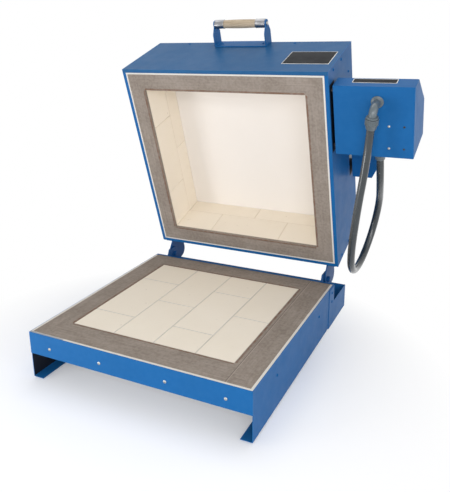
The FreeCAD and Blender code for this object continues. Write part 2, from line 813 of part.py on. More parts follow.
def thermocouple(lid):
    """Sheathed sensor through the right wall, with its block inside the control box."""
    y = y_of(SENSOR_U)
    z = z_of(SENSOR_V)
    tip = OPEN_HALF - SENSOR_IN
    profile = [(SENSOR_R * 0.7, 0), (SENSOR_R, SENSOR_R / 2), (SENSOR_R, SENSOR_L)]
    sheath = faceted(profile, BOLT_SIDES, (tip, y, z), TO_RIGHT)
    block_x = tip + SENSOR_L - 4.0
    lid["thermocouple"] = join([sheath, box(block_x, block_x + 20.0, y - 17.0, y + 17.0, z - 9.0, z + 9.0)])
    hole = prism(SENSOR_R + CURVE_GAP, BOLT_SIDES, (OPEN_HALF - 2.0, y, z), TO_RIGHT, BOX_LEFT - OPEN_HALF)
    lid["lid_bricks"] = [b.cut(hole) if b.BoundBox.intersect(hole.BoundBox) else b for b in lid["lid_bricks"]]
    for node in ("lid_fibre", "lid_right_panel"):
        lid[node] = lid[node].cut(hole)
    case_hole = prism(SENSOR_R + 2.0, BOLT_SIDES, (BOX_LEFT - 1.0, y, z), TO_RIGHT, 4.0)
    lid["control_case"] = lid["control_case"].cut(case_hole)


# Handle

def handle_bracket():
    """Flat strip with an ear turned up at each end; the ears narrow towards the grip."""
    z0 = HANDLE_Z - HANDLE_W / 2
    z1 = HANDLE_Z + HANDLE_W / 2
    neck0 = HANDLE_Z - EAR_W / 2
    neck1 = HANDLE_Z + EAR_W / 2
    grip_y = -HALF - GRIP_OUT
    points = [(-HALF, z0), (grip_y + EAR_FOOT, z0), (grip_y + EAR_NECK, neck0), (grip_y - EAR_TOP, neck0),
              (grip_y - EAR_TOP, neck1), (grip_y + EAR_NECK, neck1), (grip_y + EAR_FOOT, z1), (-HALF, z1)]
    radii = [0, 4, 6, 9, 9, 6, 4, 0]
    x0 = HANDLE_X - HANDLE_L / 2
    x1 = HANDLE_X + HANDLE_L / 2
    strip = box(x0, x1, -HALF - HANDLE_T, -HALF, z0, z1)
    ears = [plate(points, radii, "X", low, low + HANDLE_T) for low in (x0, x1 - HANDLE_T)]
    return join([strip] + ears)


def handle(lid):
    """Bracket, turned grip with a ferrule on each end, and the rod through them."""
    x0 = HANDLE_X - HANDLE_L / 2
    x1 = HANDLE_X + HANDLE_L / 2
    y = -HALF - GRIP_OUT
    z = HANDLE_Z
    bore = prism(ROD_R + FACE_GAP, BOLT_SIDES, (x0 - 1.0, y, z), TO_RIGHT, HANDLE_L + 2.0)
    inner_r = GRIP_R - FERRULE_T
    ferrules = []
    for x, side in ((x0 + HANDLE_T, 1), (x1 - HANDLE_T, -1)):
        inward = (side, 0, 0)
        cup = faceted([(GRIP_R - 1.5, 0), (GRIP_R, 1.2), (GRIP_R, FERRULE_L)], ROUND_SIDES, (x, y, z), inward)
        pocket = prism(inner_r, ROUND_SIDES, (x + side * FERRULE_END, y, z), inward, FERRULE_L)
        ferrules.append(cut_all(cup, [pocket, bore]))
    length = HANDLE_L - 2 * HANDLE_T - 2 * FERRULE_END
    neck = FERRULE_L - FERRULE_END + FACE_GAP
    profile = [(inner_r, 0), (inner_r, neck), (GRIP_R, neck), (GRIP_R + GRIP_SWELL, length / 2),
               (GRIP_R, length - neck), (inner_r, length - neck), (inner_r, length)]
    grip = faceted(profile, ROUND_SIDES, (x0 + HANDLE_T + FERRULE_END, y, z), TO_RIGHT)
    head = [(5.4, 0), (5.4, 1.4), (3.4, 3.0)]
    lid["handle_bracket"] = lid["handle_bracket"].cut(bore)
    lid["handle_ferrules"] = ferrules
    lid["handle_grip"] = grip.cut(bore)
    lid["handle_rod"] = join([
        prism(ROD_R, BOLT_SIDES, (x0, y, z), TO_RIGHT, HANDLE_L),
        faceted(head, HEAD_SIDES, (x0, y, z), (-1, 0, 0)),
        faceted(head, HEAD_SIDES, (x1, y, z), TO_RIGHT),
    ])


# Control box, built shut with the lid

def box_profile(inset):
    """Five-sided side view of the box as (y, z), drawn in from its faces by inset."""
    front = y_of(BOX_FRONT) + inset
    back = y_of(BOX_BACK) - inset
    low = z_of(BOX_LOW) + inset
    high = z_of(BOX_HIGH) - inset
    knee = V(y_of(BOX_FRONT), z_of(BOX_KNEE), 0)
    shoulder = V(y_of(BOX_SHOULDER), z_of(BOX_HIGH), 0)
    run = (shoulder - knee).normalize()
    start = knee + V(run.y, -run.x, 0) * inset
    a = start + run * ((front - start.x) / run.x)
    b = start + run * ((high - start.y) / run.y)
    return [(front, low), (a.x, a.y), (b.x, b.y), (back, high), (back, low)]


def slope_length():
    return math.hypot(BOX_FRONT - BOX_SHOULDER, BOX_HIGH - BOX_KNEE)


def on_slope(shape):
    """Carries a shape from X, up-slope and outward onto the sloped face."""
    angle = math.degrees(math.atan2(BOX_HIGH - BOX_KNEE, BOX_FRONT - BOX_SHOULDER))
    corner = V(0, y_of(BOX_FRONT), z_of(BOX_KNEE))
    place = FreeCAD.Placement(corner, FreeCAD.Rotation(V(1, 0, 0), angle))
    copy = shape.copy()
    copy.Placement = place.multiply(copy.Placement)
    return copy


def control_case():
    """Folded case: left wall, bottom, front, top and back, with lips behind the fascia, open at the right."""
    reach = BOX_RIGHT - SHEET
    outer = plate(box_profile(0), 0, "X", BOX_LEFT, reach)
    inner = plate(box_profile(SHEET), 0, "X", BOX_LEFT + SHEET, BOX_RIGHT)
    length = slope_length()
    mouth = on_slope(box(BOX_LEFT - 1.0, BOX_RIGHT + 1.0, 0, length, -SHEET, 30.0))
    shell = outer.cut(inner).cut(mouth)
    inside = plate(box_profile(SHEET / 2), 0, "X", BOX_LEFT, reach)
    lips = []
    for s0, s1 in ((SHEET, BOX_LIP), (length - BOX_LIP, length - SHEET)):
        lips.append(on_slope(box(BOX_LEFT + SHEET / 2, reach, s0, s1, -2 * SHEET, -SHEET)).common(inside))
    return join([shell] + lips)


def control_end():
    """Five-sided end panel with two tabs turned in behind the case walls."""
    panel = plate(box_profile(0), 0, "X", BOX_RIGHT - SHEET, BOX_RIGHT)
    inset = SHEET + FACE_GAP
    tab_x = BOX_RIGHT - BOX_TAB
    low = z_of(BOX_LOW) + inset
    bottom = box(tab_x, BOX_RIGHT - SHEET, y_of(BOX_FRONT) + 16.0, y_of(BOX_BACK) - 8.0, low, low + SHEET)
    back = y_of(BOX_BACK) - inset
    rear = box(tab_x, BOX_RIGHT - SHEET, back - SHEET, back, low + 12.0, z_of(BOX_HIGH) - 12.0)
    return join([panel, bottom, rear])


def key_centres():
    first = FASCIA_MID - KEY_PITCH * (KEY_COUNT - 1) / 2
    return [first + KEY_PITCH * i for i in range(KEY_COUNT)]


def around(x, s, half_w, half_h, low, high):
    """Block on the sloped face, centred on x and s."""
    return box(x - half_w, x + half_w, s - half_h, s + half_h, low, high)


def fascia():
    """Panel of the sloped face with its openings."""
    panel = box(BOX_LEFT, BOX_RIGHT - SHEET - FACE_GAP, 0.6, slope_length() - 0.6, -SHEET, 0)
    for x in key_centres():
        panel = panel.cut(around(x, KEY_S, KEY_W / 2 + CURVE_GAP, KEY_H / 2 + CURVE_GAP, -5.0, 5.0))
    panel = panel.cut(around(SWITCH_X, SWITCH_S, SWITCH_W / 2, SWITCH_H / 2, -5.0, 5.0))
    panel = panel.cut(prism(FUSE_R, NUT_SIDES, (SWITCH_X, FUSE_S, -5.0), UPWARD, 10.0))
    middle_s = DISPLAY_S + DISPLAY_H / 2
    half_w = DISPLAY_W / 2 - WINDOW_RIM
    return panel.cut(around(FASCIA_MID, middle_s, half_w, DISPLAY_H / 2 - WINDOW_RIM, -5.0, 5.0))


def display_window():
    middle_s = DISPLAY_S + DISPLAY_H / 2
    bezel = around(FASCIA_MID, middle_s, DISPLAY_W / 2, DISPLAY_H / 2, 0, WINDOW_T)
    bezel = bezel.makeChamfer(0.6, [e for e in bezel.Edges if e.BoundBox.ZMin > WINDOW_T - 0.01])
    inset = WINDOW_RIM + FACE_GAP
    lens = around(FASCIA_MID, middle_s, DISPLAY_W / 2 - inset, DISPLAY_H / 2 - inset, -WINDOW_DEEP, 0)
    return join([bezel, lens])


def control_board():
    """Circuit board with the display block, a post under each key and four posts to the fascia."""
    top = -BOARD_DROP + LAMINATE_T
    s0 = KEY_S - 14.0
    s1 = DISPLAY_S + DISPLAY_H + 6.0
    half_w = DISPLAY_W / 2
    pieces = [box(FASCIA_MID - half_w - 8.0, FASCIA_MID + half_w + 8.0, s0, s1, -BOARD_DROP, top)]
    middle_s = DISPLAY_S + DISPLAY_H / 2
    half_h = DISPLAY_H / 2
    pieces.append(around(FASCIA_MID, middle_s, half_w - 4.0, half_h - 4.0, top, -WINDOW_DEEP - FACE_GAP))
    for side in LEFT_RIGHT:
        for s in (s0 + 4.0, s1 - 4.0):
            post_x = FASCIA_MID + side * (half_w + 4.0)
            pieces.append(prism(2.5, SCREW_SIDES, (post_x, s, top), UPWARD, -SHEET - top))
    for x in key_centres():
        pieces.append(around(x, KEY_S, 3.0, 3.0, top, -KEY_DEEP - KEY_TRAVEL - CURVE_GAP))
    return join(pieces)


def key_cap(x):
    """Key cap with a wider skirt behind the fascia that keeps it in."""
    cap = around(x, KEY_S, KEY_W / 2, KEY_H / 2, -KEY_DEEP, KEY_OUT)
    cap = cap.makeChamfer(0.8, [e for e in cap.Edges if e.BoundBox.ZMin > KEY_OUT - 0.01])
    skirt = around(x, KEY_S, KEY_W / 2 + KEY_SKIRT, KEY_H / 2 + KEY_SKIRT, -SHEET - 2.0, -SHEET - FACE_GAP)
    return join([cap, skirt])


def switch_frame():
    """Frame with a pocket that the rocker sits in on its axle."""
    half_w = SWITCH_W / 2
    half_h = SWITCH_H / 2
    flange = around(SWITCH_X, SWITCH_S, half_w + SWITCH_RIM, half_h + SWITCH_RIM, 0, WINDOW_T)
    body = around(SWITCH_X, SWITCH_S, half_w, half_h, -SWITCH_DEEP, 0)
    pocket = around(SWITCH_X, SWITCH_S, half_w - 2.0, half_h - 2.5, -13.0, 5.0)
    axle_start = (SWITCH_X - half_w + 0.8, SWITCH_S, -ROCKER_DROP)
    axle = rod(ROCKER_AXLE_R + PIN_PLAY, axle_start, TO_RIGHT, SWITCH_W - 1.6)
    return cut_all(join([flange, body]), [pocket, axle])


def rocker():
    """Rocker paddle: a shallow vee on an axle, tipped to the off side."""
    half_w = SWITCH_W / 2 - 2.4
    half_h = SWITCH_H / 2 - 3.6
    points = [(-half_h, 1.2), (0, -0.4), (half_h, 1.2), (half_h - 2.0, -7.0), (-half_h + 2.0, -7.0)]
    body = plate(points, 0, "X", SWITCH_X - half_w, SWITCH_X + half_w)
    axle = rod(ROCKER_AXLE_R, (SWITCH_X - SWITCH_W / 2 + 1.0, 0, -ROCKER_DROP), TO_RIGHT, SWITCH_W - 2.0)
    whole = join([body, axle])
    whole.rotate(V(0, 0, -ROCKER_DROP), V(1, 0, 0), ROCKER_TIP)
    whole.translate(V(0, SWITCH_S, 0))
    return whole


def fuse_holder():
    body_r = FUSE_R - FACE_GAP
    profile = [(body_r, -22.0), (body_r, 0), (9.0, 0), (9.0, 2.0), (7.4, 2.6), (7.4, 9.0), (6.2, 10.0)]
    return faceted(profile, NUT_SIDES, (SWITCH_X, FUSE_S, 0), UPWARD)


def power_relay():
    half_w = 16.0
    x = BOX_RIGHT - BOX_SCREW_MID
    low = z_of(BOX_LOW) + SHEET
    y0 = y_of(BOX_SCREW_FRONT + 14.0)
    y1 = y_of(BOX_SCREW_REAR - 14.0)
    relay = box(x - half_w, x + half_w, y0, y1, low, low + 42.0)
    for u in (BOX_SCREW_REAR, BOX_SCREW_FRONT):
        relay = relay.cut(prism(SCREW_R + SCREW_GAP, SCREW_SIDES, (x, y_of(u), low - 1.0), UPWARD, 8.0))
    return relay


def blank_plate(sizes, front_y):
    """Thin bare plate on a wall that faces forward, from its left, right, low and high edges."""
    left, right, low, high = sizes
    return plate(rectangle(left, right, z_of(low), z_of(high)), 2.0, "Y", front_y - PLATE_THIN, front_y)


def terminal_cover():
    """Cover over the element terminals: a box open towards the lid wall, one corner cut off."""
    x0 = BOX_LEFT
    y0 = y_of(COVER_FRONT)
    y1 = y_of(COVER_BACK)
    z0 = z_of(COVER_LOW)
    z1 = z_of(COVER_HIGH)
    cut_x = COVER_RIGHT - COVER_CUT_X
    cut_y = y1 - COVER_CUT_Y
    outer = [(x0, y0), (COVER_RIGHT, y0), (COVER_RIGHT, cut_y), (cut_x, y1), (x0, y1)]
    inner_x = COVER_RIGHT - SHEET
    inner = [(x0 - 1.0, y0 + SHEET), (inner_x, y0 + SHEET), (inner_x, cut_y - SHEET / 4),
             (cut_x - SHEET / 2, y1 - SHEET), (x0 - 1.0, y1 - SHEET)]
    return plate(outer, 0, "Z", z0, z1).cut(plate(inner, 0, "Z", z0 + SHEET, z1 - SHEET))


def terminal_plate():
    """Plate that closes the cover's open side against the spacers."""
    inset = SHEET + FACE_GAP
    return box(BOX_LEFT, BOX_LEFT + SHEET, y_of(COVER_FRONT) + inset, y_of(COVER_BACK) - inset,
               z_of(COVER_LOW) + inset, z_of(COVER_HIGH) - inset)


def spacers(lid):
    """Spacers that hold the two boxes off the hot wall, each with its stud and nut."""
    shallow = [(BOX_BACK + 18.0, 22.0), (BOX_BACK + 18.0, BOX_HIGH - 17.0), (BOX_FRONT - 19.0, 22.0),
               (BOX_BACK + 90.0, BOX_HIGH - 29.0)]
    cover_v = COVER_HIGH - 16.0
    deep = [(COVER_BACK + 17.5, cover_v), (COVER_FRONT - 18.0, cover_v)]
    solids = []
    for places, holed in ((shallow, ("lid_right_panel", "control_case")),
                          (deep, ("lid_right_panel", "lid_roof_panel", "terminal_plate"))):
        for u, v in places:
            seat = (HALF, y_of(u), z_of(v))
            start = shift(seat, TO_RIGHT, -2 * SHEET + FACE_GAP / 2)
            stud = prism(2.5, SCREW_SIDES, start, TO_RIGHT, BOX_GAP + 7.0)
            sleeve = prism(6.5, NUT_SIDES, seat, TO_RIGHT, BOX_GAP)
            nut = hexagon(9.0, shift(seat, TO_RIGHT, BOX_GAP + SHEET), TO_RIGHT, 3.4)
            solids.append(join([stud, sleeve, nut]))
            hole = prism(2.5 + SCREW_GAP, SCREW_SIDES, shift(seat, TO_RIGHT, -9.0), TO_RIGHT, 30.0)
            for node in holed:
                lid[node] = lid[node].cut(hole)
    return solids


# Screws of the lid and the control box

def lid_screw_places():
    """Seat, outward direction and holed nodes of each screw of the lid."""
    top_z = LID_TOP - 12.0
    places = []
    for x in (-190.0, 146.0):
        places.append(((x, -HALF, top_z), (0, -1, 0), ("lid_front_panel", "lid_roof_panel")))
        places.append(((x, HALF, top_z), TO_REAR, ("lid_back_panel", "lid_roof_panel")))
    corner_y = HALF - SHEET - TAB_W / 2
    for side, wall in ((-1, "lid_left_panel"), (1, "lid_right_panel")):
        out = (side, 0, 0)
        for y in (-233.0, 233.0):
            places.append(((side * HALF, y, z_of(SKIRT_V + 8.0)), out, (wall, "lid_roof_panel")))
        for end, face in ((-1, "lid_front_panel"), (1, "lid_back_panel")):
            for v in (46.0, 119.0):
                places.append(((side * HALF, end * corner_y, z_of(v)), out, (wall, face)))
    return places


def lid_screws(lid):
    """Pan screws of the lid walls, the handle and the control box; cuts their holes."""
    screws = []
    two_sheets = 2 * SHEET - FACE_GAP / 2
    for seat, out, holed in lid_screw_places():
        screw, hole = pan_screw(seat, out, two_sheets)
        screws.append(screw)
        for node in holed:
            lid[node] = lid[node].cut(hole)
    for x in (HANDLE_X - HANDLE_SCREW, HANDLE_X + HANDLE_SCREW):
        screw, hole = pan_screw((x, -HALF - HANDLE_T, HANDLE_Z), (0, -1, 0), HANDLE_T + two_sheets)
        screws.append(screw)
        for node in ("handle_bracket", "lid_front_panel", "lid_roof_panel"):
            lid[node] = lid[node].cut(hole)
    for x in (BOX_LEFT + 9.0, BOX_RIGHT - 11.0):
        for s in (7.0, slope_length() - 7.0):
            screw, hole = pan_screw((x, s, 0), UPWARD, two_sheets)
            screws.append(on_slope(screw))
            for node in ("control_fascia", "control_case"):
                lid[node] = lid[node].cut(on_slope(hole))
    reach = two_sheets + FACE_GAP
    down = (0, 0, -1)
    for x in (BOX_RIGHT - BOX_SCREW_MID, BOX_RIGHT - BOX_SCREW_IN):
        for u in (BOX_SCREW_REAR, BOX_SCREW_FRONT):
            screw, hole = pan_screw((x, y_of(u), z_of(BOX_LOW)), down, reach)
            screws.append(screw)
            for node in ("control_case", "control_end_panel"):
                lid[node] = lid[node].cut(hole)
    for v in (40.0, BOX_HIGH - 34.0):
        screw, hole = pan_screw((BOX_RIGHT - BOX_SCREW_IN, y_of(BOX_BACK), z_of(v)), TO_REAR, reach)
        screws.append(screw)
        for node in ("control_case", "control_end_panel"):
            lid[node] = lid[node].cut(hole)
    return screws


# Conduit and its fittings

def elbow():
    """Right-angle connector: a round flange and throat on the box, then a bend and a collar for the nut."""
    start = V(0, 0, 0)
    path = path_wire([start, V(0, 0, -ELBOW_DROP), V(0, ELBOW_LEG, -ELBOW_DROP)], [ELBOW_BEND])
    section = Part.Wire([Part.Circle(start, V(0, 0, -1), THROAT_R).toShape()])
    bend = path.makePipeShell([section], True, False)
    down = (0, 0, -1)
    flange = faceted([(17.0, 0), (17.0, 4.0), (THROAT_R + 1.0, 7.0)], ROUND_SIDES, (0, 0, 0), down)
    collar = hexagon(33.0, (0, ELBOW_BEND, -ELBOW_DROP), TO_REAR, COLLAR_T)
    throat = prism(THROAT_R, NUT_SIDES, (0, 0, -1.0), UPWARD, 13.0)
    locknut = hexagon(30.0, (0, 0, SHEET + FACE_GAP), UPWARD, COLLAR_T)
    return join([bend, flange, collar, throat, locknut])


def gland():
    """Straight connector on the back of the box: flange, throat and locknut."""
    y = y_of(BOX_BACK)
    z = z_of(GLAND_V)
    throat = prism(THROAT_R, NUT_SIDES, (GLAND_X, y - 12.0, z), TO_REAR, 13.0)
    seat = rod(THROAT_R, (GLAND_X, y, z), TO_REAR, GLAND_LEG)
    flange = faceted([(16.5, 0), (16.5, 4.0), (14.0, 6.0)], ROUND_SIDES, (GLAND_X, y, z), TO_REAR)
    locknut = hexagon(30.0, (GLAND_X, y - SHEET - FACE_GAP - COLLAR_T, z), TO_REAR, COLLAR_T)
    return join([throat, seat, flange, locknut])


def compression_nut(start, seat_length):
    """Nut that tapers to the hose, bored to slip over its connector's end and the hose."""
    profile = [(NUT_R, 0), (NUT_R, 13.0), (NUT_R - 2.5, 16.0), (HOSE_R + 2.5, NUT_L)]
    nut = faceted(profile, NUT_SIDES, start, TO_REAR)
    before = shift(start, TO_REAR, -1.0)
    seat = rod(THROAT_R + PRESS_GAP, before, TO_REAR, seat_length + 1.0)
    bore = rod(HOSE_R + PRESS_GAP, before, TO_REAR, NUT_L + 2.0)
    return cut_all(nut, [seat, bore])


def elbow_place():
    """Turns the connector's leg a little towards the lid and seats it on the bottom of the box."""
    turn = FreeCAD.Rotation(V(0, 0, 1), ELBOW_TURN)
    return FreeCAD.Placement(V(ELBOW_X, y_of(ELBOW_U), z_of(BOX_LOW)), turn)


def conduit_fittings(lid):
    """Elbow, gland and their nuts, and the holes they need in the case."""
    place = elbow_place()
    fitting = elbow()
    fitting.Placement = place
    lid["elbow_fitting"] = fitting
    nut_start = ELBOW_BEND + COLLAR_T + FACE_GAP
    elbow_nut = compression_nut((0, nut_start, -ELBOW_DROP), ELBOW_LEG - nut_start)
    elbow_nut.Placement = place.multiply(elbow_nut.Placement)
    lid["gland_fitting"] = gland()
    flange_t = 6.0 + FACE_GAP
    gland_nut = compression_nut((GLAND_X, y_of(BOX_BACK) + flange_t, z_of(GLAND_V)), GLAND_LEG - flange_t)
    lid["conduit_nuts"] = [elbow_nut, gland_nut]
    wide = THROAT_R + FACE_GAP
    below = prism(wide, NUT_SIDES, (0, 0, -1.0), UPWARD, 4.0)
    below.Placement = place.multiply(below.Placement)
    behind = prism(wide, NUT_SIDES, (GLAND_X, y_of(BOX_BACK) - 3.0, z_of(GLAND_V)), TO_REAR, 4.0)
    lid["control_case"] = cut_all(lid["control_case"], [below, behind])


def opened(point):
    """Carries a point of the shut lid to where it stands with the lid open."""
    turn = FreeCAD.Rotation(V(1, 0, 0), -OPEN_DEG)
    pivot = V(0, PIVOT_Y, PIVOT_Z)
    return turn.multVec(point - pivot) + pivot


def hose():
    """Conduit: straight runs between the elbow and the gland, joined by tangent arcs."""
    start = opened(elbow_place().multVec(V(0, ELBOW_LEG, -ELBOW_DROP)))
    end = opened(V(GLAND_X, y_of(BOX_BACK) + GLAND_LEG, z_of(GLAND_V)))
    points = [start] + [V(*p) for p in HOSE_ROUTE] + [end]
    radii = []
    for i in range(1, len(points) - 1):
        before = points[i] - points[i - 1]
        after = points[i + 1] - points[i]
        radii.append(0.45 * min(before.Length, after.Length) / math.tan(before.getAngle(after) / 2))
    solid, length = tube(points, radii, HOSE_R)
    print("hose radii", [round(r, 1) for r in radii], "length", round(length, 1))
    print("hose volume ratio", round(solid.Volume / (math.pi * HOSE_R ** 2 * length), 4))
    return solid


# Putting it together

def build_base():
    return {
        "base_left_panel": base_side(-1),
        "base_right_panel": base_side(1),
        "base_front_panel": base_front(),
        "base_back_panel": base_back(),
        "base_pan": base_pan(),
        "base_fibre": base_fibre(),
        "base_rim_strips": base_rim(),
        "floor_bricks": floor_bricks(),
        "rear_stand": rear_stand(),
        "feet": feet(),
    }


def build_lid():
    lid = {
        "lid_front_panel": lid_front_or_back(-1),
        "lid_back_panel": lid_front_or_back(1),
        "lid_left_panel": lid_side(-1),
        "lid_right_panel": lid_side(1),
        "lid_roof_panel": lid_roof(),
        "lid_fibre": lid_fibre(),
        "lid_rim_strips": lid_rim(),
        "lid_bricks": lid_bricks(),
        "handle_bracket": handle_bracket(),
        "lid_blank_plate": blank_plate(LID_PLATE, -HALF),
        "control_blank_plate": blank_plate(BOX_PLATE, y_of(BOX_FRONT)),
        "control_case": control_case(),
        "control_end_panel": control_end(),
        "control_fascia": on_slope(fascia()),
        "display_window": on_slope(display_window()),
        "control_board": on_slope(control_board()),
        "switch_frame": on_slope(switch_frame()),
        "power_rocker": on_slope(rocker()),
        "fuse_holder": on_slope(fuse_holder()),
        "power_relay": power_relay(),
        "terminal_cover": terminal_cover(),
        "terminal_plate": terminal_plate(),
    }
    for i, x in enumerate(key_centres()):
        lid["key_" + str(i + 1)] = on_slope(key_cap(x))
    roof_lining(lid)
    terminals(lid)
    thermocouple(lid)
    handle(lid)
    conduit_fittings(lid)
    lid["case_spacers"] = spacers(lid)
    lid["lid_screws"] = lid_screws(lid)
    return lid


def flatten(item):
    pieces = item if isinstance(item, list) else [item]
    solids = []
    for piece in pieces:
        solids.extend(piece.Solids)
    return solids


def open_lid(lid):
    for item in lid.values():
        for piece in item if isinstance(item, list) else [item]:
            piece.rotate(V(0, PIVOT_Y, PIVOT_Z), V(1, 0, 0), -OPEN_DEG)


def centring(nodes):
    """Move that puts the middle of everything but the cord over the origin."""
    whole = FreeCAD.BoundBox()
    for item in nodes.values():
        for solid in flatten(item):
            whole.add(solid.BoundBox)
    size = [round(s, 2) for s in (whole.XLength, whole.YLength, whole.ZLength)]
    offset = V(-(whole.XMin + whole.XMax) / 2, -(whole.YMin + whole.YMax) / 2, -whole.ZMin)
    print("offset", [round(c, 4) for c in offset], "size", size)
    print("pivot", [round(c / 1000, 6) for c in V(0, PIVOT_Y, PIVOT_Z) + offset])
    return offset


def main():
    base = build_base()
    lid = build_lid()
    hinges(base, lid)
    base["base_screws"] = base_screws(base)
    open_lid(lid)
    nodes = {**base, **lid}
    offset = centring(nodes)
    nodes["conduit"] = hose()
    os.makedirs("parts", exist_ok=True)
    for name, item in nodes.items():
        solids = flatten(item)
        shape = Part.makeCompound(solids) if len(solids) > 1 else solids[0]
        shape.translate(offset)
        shape.exportStep("parts/" + name + ".step")
        state = "valid" if all(s.isValid() for s in solids) else "NOT VALID"
        print(name, len(solids), state, round(shape.Volume / 1000, 1))
    print("nodes", len(nodes))


main()
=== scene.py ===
# %% [markdown]
# # A clamshell kiln for fusing glass
#
# The kiln is a shallow brick hearth on a folded steel base, with a deep brick-lined lid that swings up
# on two rear hinges. The steel is powder coated blue. The bricks are soft, cream and porous, the rim
# they stand in is a rough grey-brown cement, and a line of white fibre shows between that rim and the
# steel. A control box stands off the lid's right wall, and a grey conduit hangs in a loop from it.
#
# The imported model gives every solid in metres. This script finishes those solids and replaces the ones
# that need a softer edge or a rougher face than a plain solid has.

# %% Load the frame
import json
import math
import random

import bmesh
import bpy
from mathutils import Matrix, Vector


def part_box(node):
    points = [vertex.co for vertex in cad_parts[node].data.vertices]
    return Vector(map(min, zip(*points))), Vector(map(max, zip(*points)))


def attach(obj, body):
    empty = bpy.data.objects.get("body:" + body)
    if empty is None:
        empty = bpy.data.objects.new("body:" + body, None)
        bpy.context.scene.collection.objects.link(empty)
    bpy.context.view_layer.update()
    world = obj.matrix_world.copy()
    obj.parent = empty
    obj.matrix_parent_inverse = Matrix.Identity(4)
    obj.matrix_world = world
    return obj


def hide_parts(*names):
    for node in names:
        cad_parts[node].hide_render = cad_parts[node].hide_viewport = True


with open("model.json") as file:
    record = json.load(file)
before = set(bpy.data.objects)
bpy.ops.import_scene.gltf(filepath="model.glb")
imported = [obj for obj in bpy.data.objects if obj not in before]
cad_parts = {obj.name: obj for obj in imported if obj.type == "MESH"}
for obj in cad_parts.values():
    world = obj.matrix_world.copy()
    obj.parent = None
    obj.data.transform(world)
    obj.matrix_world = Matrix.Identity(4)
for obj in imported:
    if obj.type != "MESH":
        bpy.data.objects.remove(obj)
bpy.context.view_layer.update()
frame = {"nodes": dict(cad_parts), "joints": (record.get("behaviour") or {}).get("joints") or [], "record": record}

nodes = frame["nodes"]

# %% [markdown]
# ## Sizes that everything else is placed by
#
# The case is square, so the front panel of the base gives its width and its middle. The lid hinge gives
# the pivot and how far the lid is tipped open. Lid pieces are easiest to think of with the lid shut, so
# `on_lid` takes a place on the shut lid and turns it open.

# %% Driving sizes from the frame
MM = 0.001


def short(numbers):
    return tuple(round(number, 4) for number in numbers)


front_low, front_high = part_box("base_front_panel")
HALF = (front_high.x - front_low.x) / 2
MIDDLE_X = (front_high.x + front_low.x) / 2
MIDDLE_Y = front_low.y + HALF
BASE_TOP = front_high.z
SEAL_GAP = 0.8 * MM
RIM_Z = BASE_TOP + SEAL_GAP
LID_D = 225 * MM
hinge = next(j for j in frame["joints"] if j["name"] == "lid_hinge")
PIVOT = Vector(hinge["pos_m"])
OPEN = math.radians(hinge["range_deg"][1])
TIP_OPEN = Matrix.Translation(PIVOT) @ Matrix.Rotation(-OPEN, 4, "X") @ Matrix.Translation(-PIVOT)
TIP_SHUT = TIP_OPEN.inverted()
print("case", round(2 * HALF, 4), "pivot", short(PIVOT), "open", hinge["range_deg"][1])


# %% Places on the base and the lid
def shut_lid(x, u, v):
    """A point of the shut lid: x right of the middle, u in front of the rear wall, v above the rim."""
    return Vector((MIDDLE_X + x, MIDDLE_Y + HALF - u, RIM_Z + v))


def on_lid(x, u, v):
    return TIP_OPEN @ shut_lid(x, u, v)


def on_base(x, y, z):
    """A point of the base, from its middle in x and y and from the floor in z."""
    return Vector((MIDDLE_X + x, MIDDLE_Y + y, z))


def in_scene(name, data):
    """A new object that holds the data, linked to the scene."""
    piece = bpy.data.objects.new(name, data)
    bpy.context.scene.collection.objects.link(piece)
    return piece


print("lid front top corner", short(on_lid(HALF, 2 * HALF, LID_D)))

# %% [markdown]
# ## Camera
#
# The photograph was taken from the front and right, a little above the lid, with a normal lens. Its
# frame is cropped off centre, so the camera has a small shift.

# %% Camera
PHOTO_W, PHOTO_H = 450, 492
SENSOR = 36.0
FOCAL_PX = 589.54
VIEW_CENTRE_PX = (215.51, 207.48)
CAMERA_AT = on_base(0.7126, -1.2732, 0.8276)
AZIMUTH = math.radians(26.77)
ELEVATION = math.radians(16.15)
ROLL = math.radians(-0.84)

camera_data = bpy.data.cameras.new("camera")
camera = in_scene("camera", camera_data)
turn = Matrix.Rotation(AZIMUTH, 4, "Z") @ Matrix.Rotation(math.pi / 2 - ELEVATION, 4, "X")
camera.matrix_world = Matrix.Translation(CAMERA_AT) @ turn @ Matrix.Rotation(ROLL, 4, "Z")
camera_data.sensor_width = SENSOR
camera_data.lens = FOCAL_PX / PHOTO_H * SENSOR
camera_data.shift_x = (PHOTO_W / 2 - VIEW_CENTRE_PX[0]) / PHOTO_H
camera_data.shift_y = (VIEW_CENTRE_PX[1] - PHOTO_H / 2) / PHOTO_H
camera_data.clip_end = 50
bpy.context.scene.camera = camera
print("lens", round(camera_data.lens, 2), "shift", short((camera_data.shift_x, camera_data.shift_y)))

# %% [markdown]
# ## Shader groups
#
# Three effects turn up in several materials, so each is one node group with named inputs: blotches for
# colour that drifts, pores for brick and fibre, and streaks for brushed metal, wood and trowelled
# cement. A group gives out only masks and heights, and the shader stays in the material.

# %% Node helpers
def floats(*labels):
    return dict.fromkeys(labels, "Float")


def new_group(kind, name, inputs, outputs):
    """A node group, and the sockets of its input node. Inputs and outputs are {label: type}."""
    group = bpy.data.node_groups.new(name, kind + "NodeTree")
    for way, sockets in (("INPUT", inputs), ("OUTPUT", outputs)):
        for label, content in sockets.items():
            group.interface.new_socket(label, in_out=way, socket_type="NodeSocket" + content)
    return group, group.nodes.new("NodeGroupInput").outputs


def end_group(group, **results):
    out = group.nodes.new("NodeGroupOutput")
    for label, socket in results.items():
        group.links.new(socket, out.inputs[label])
    return group


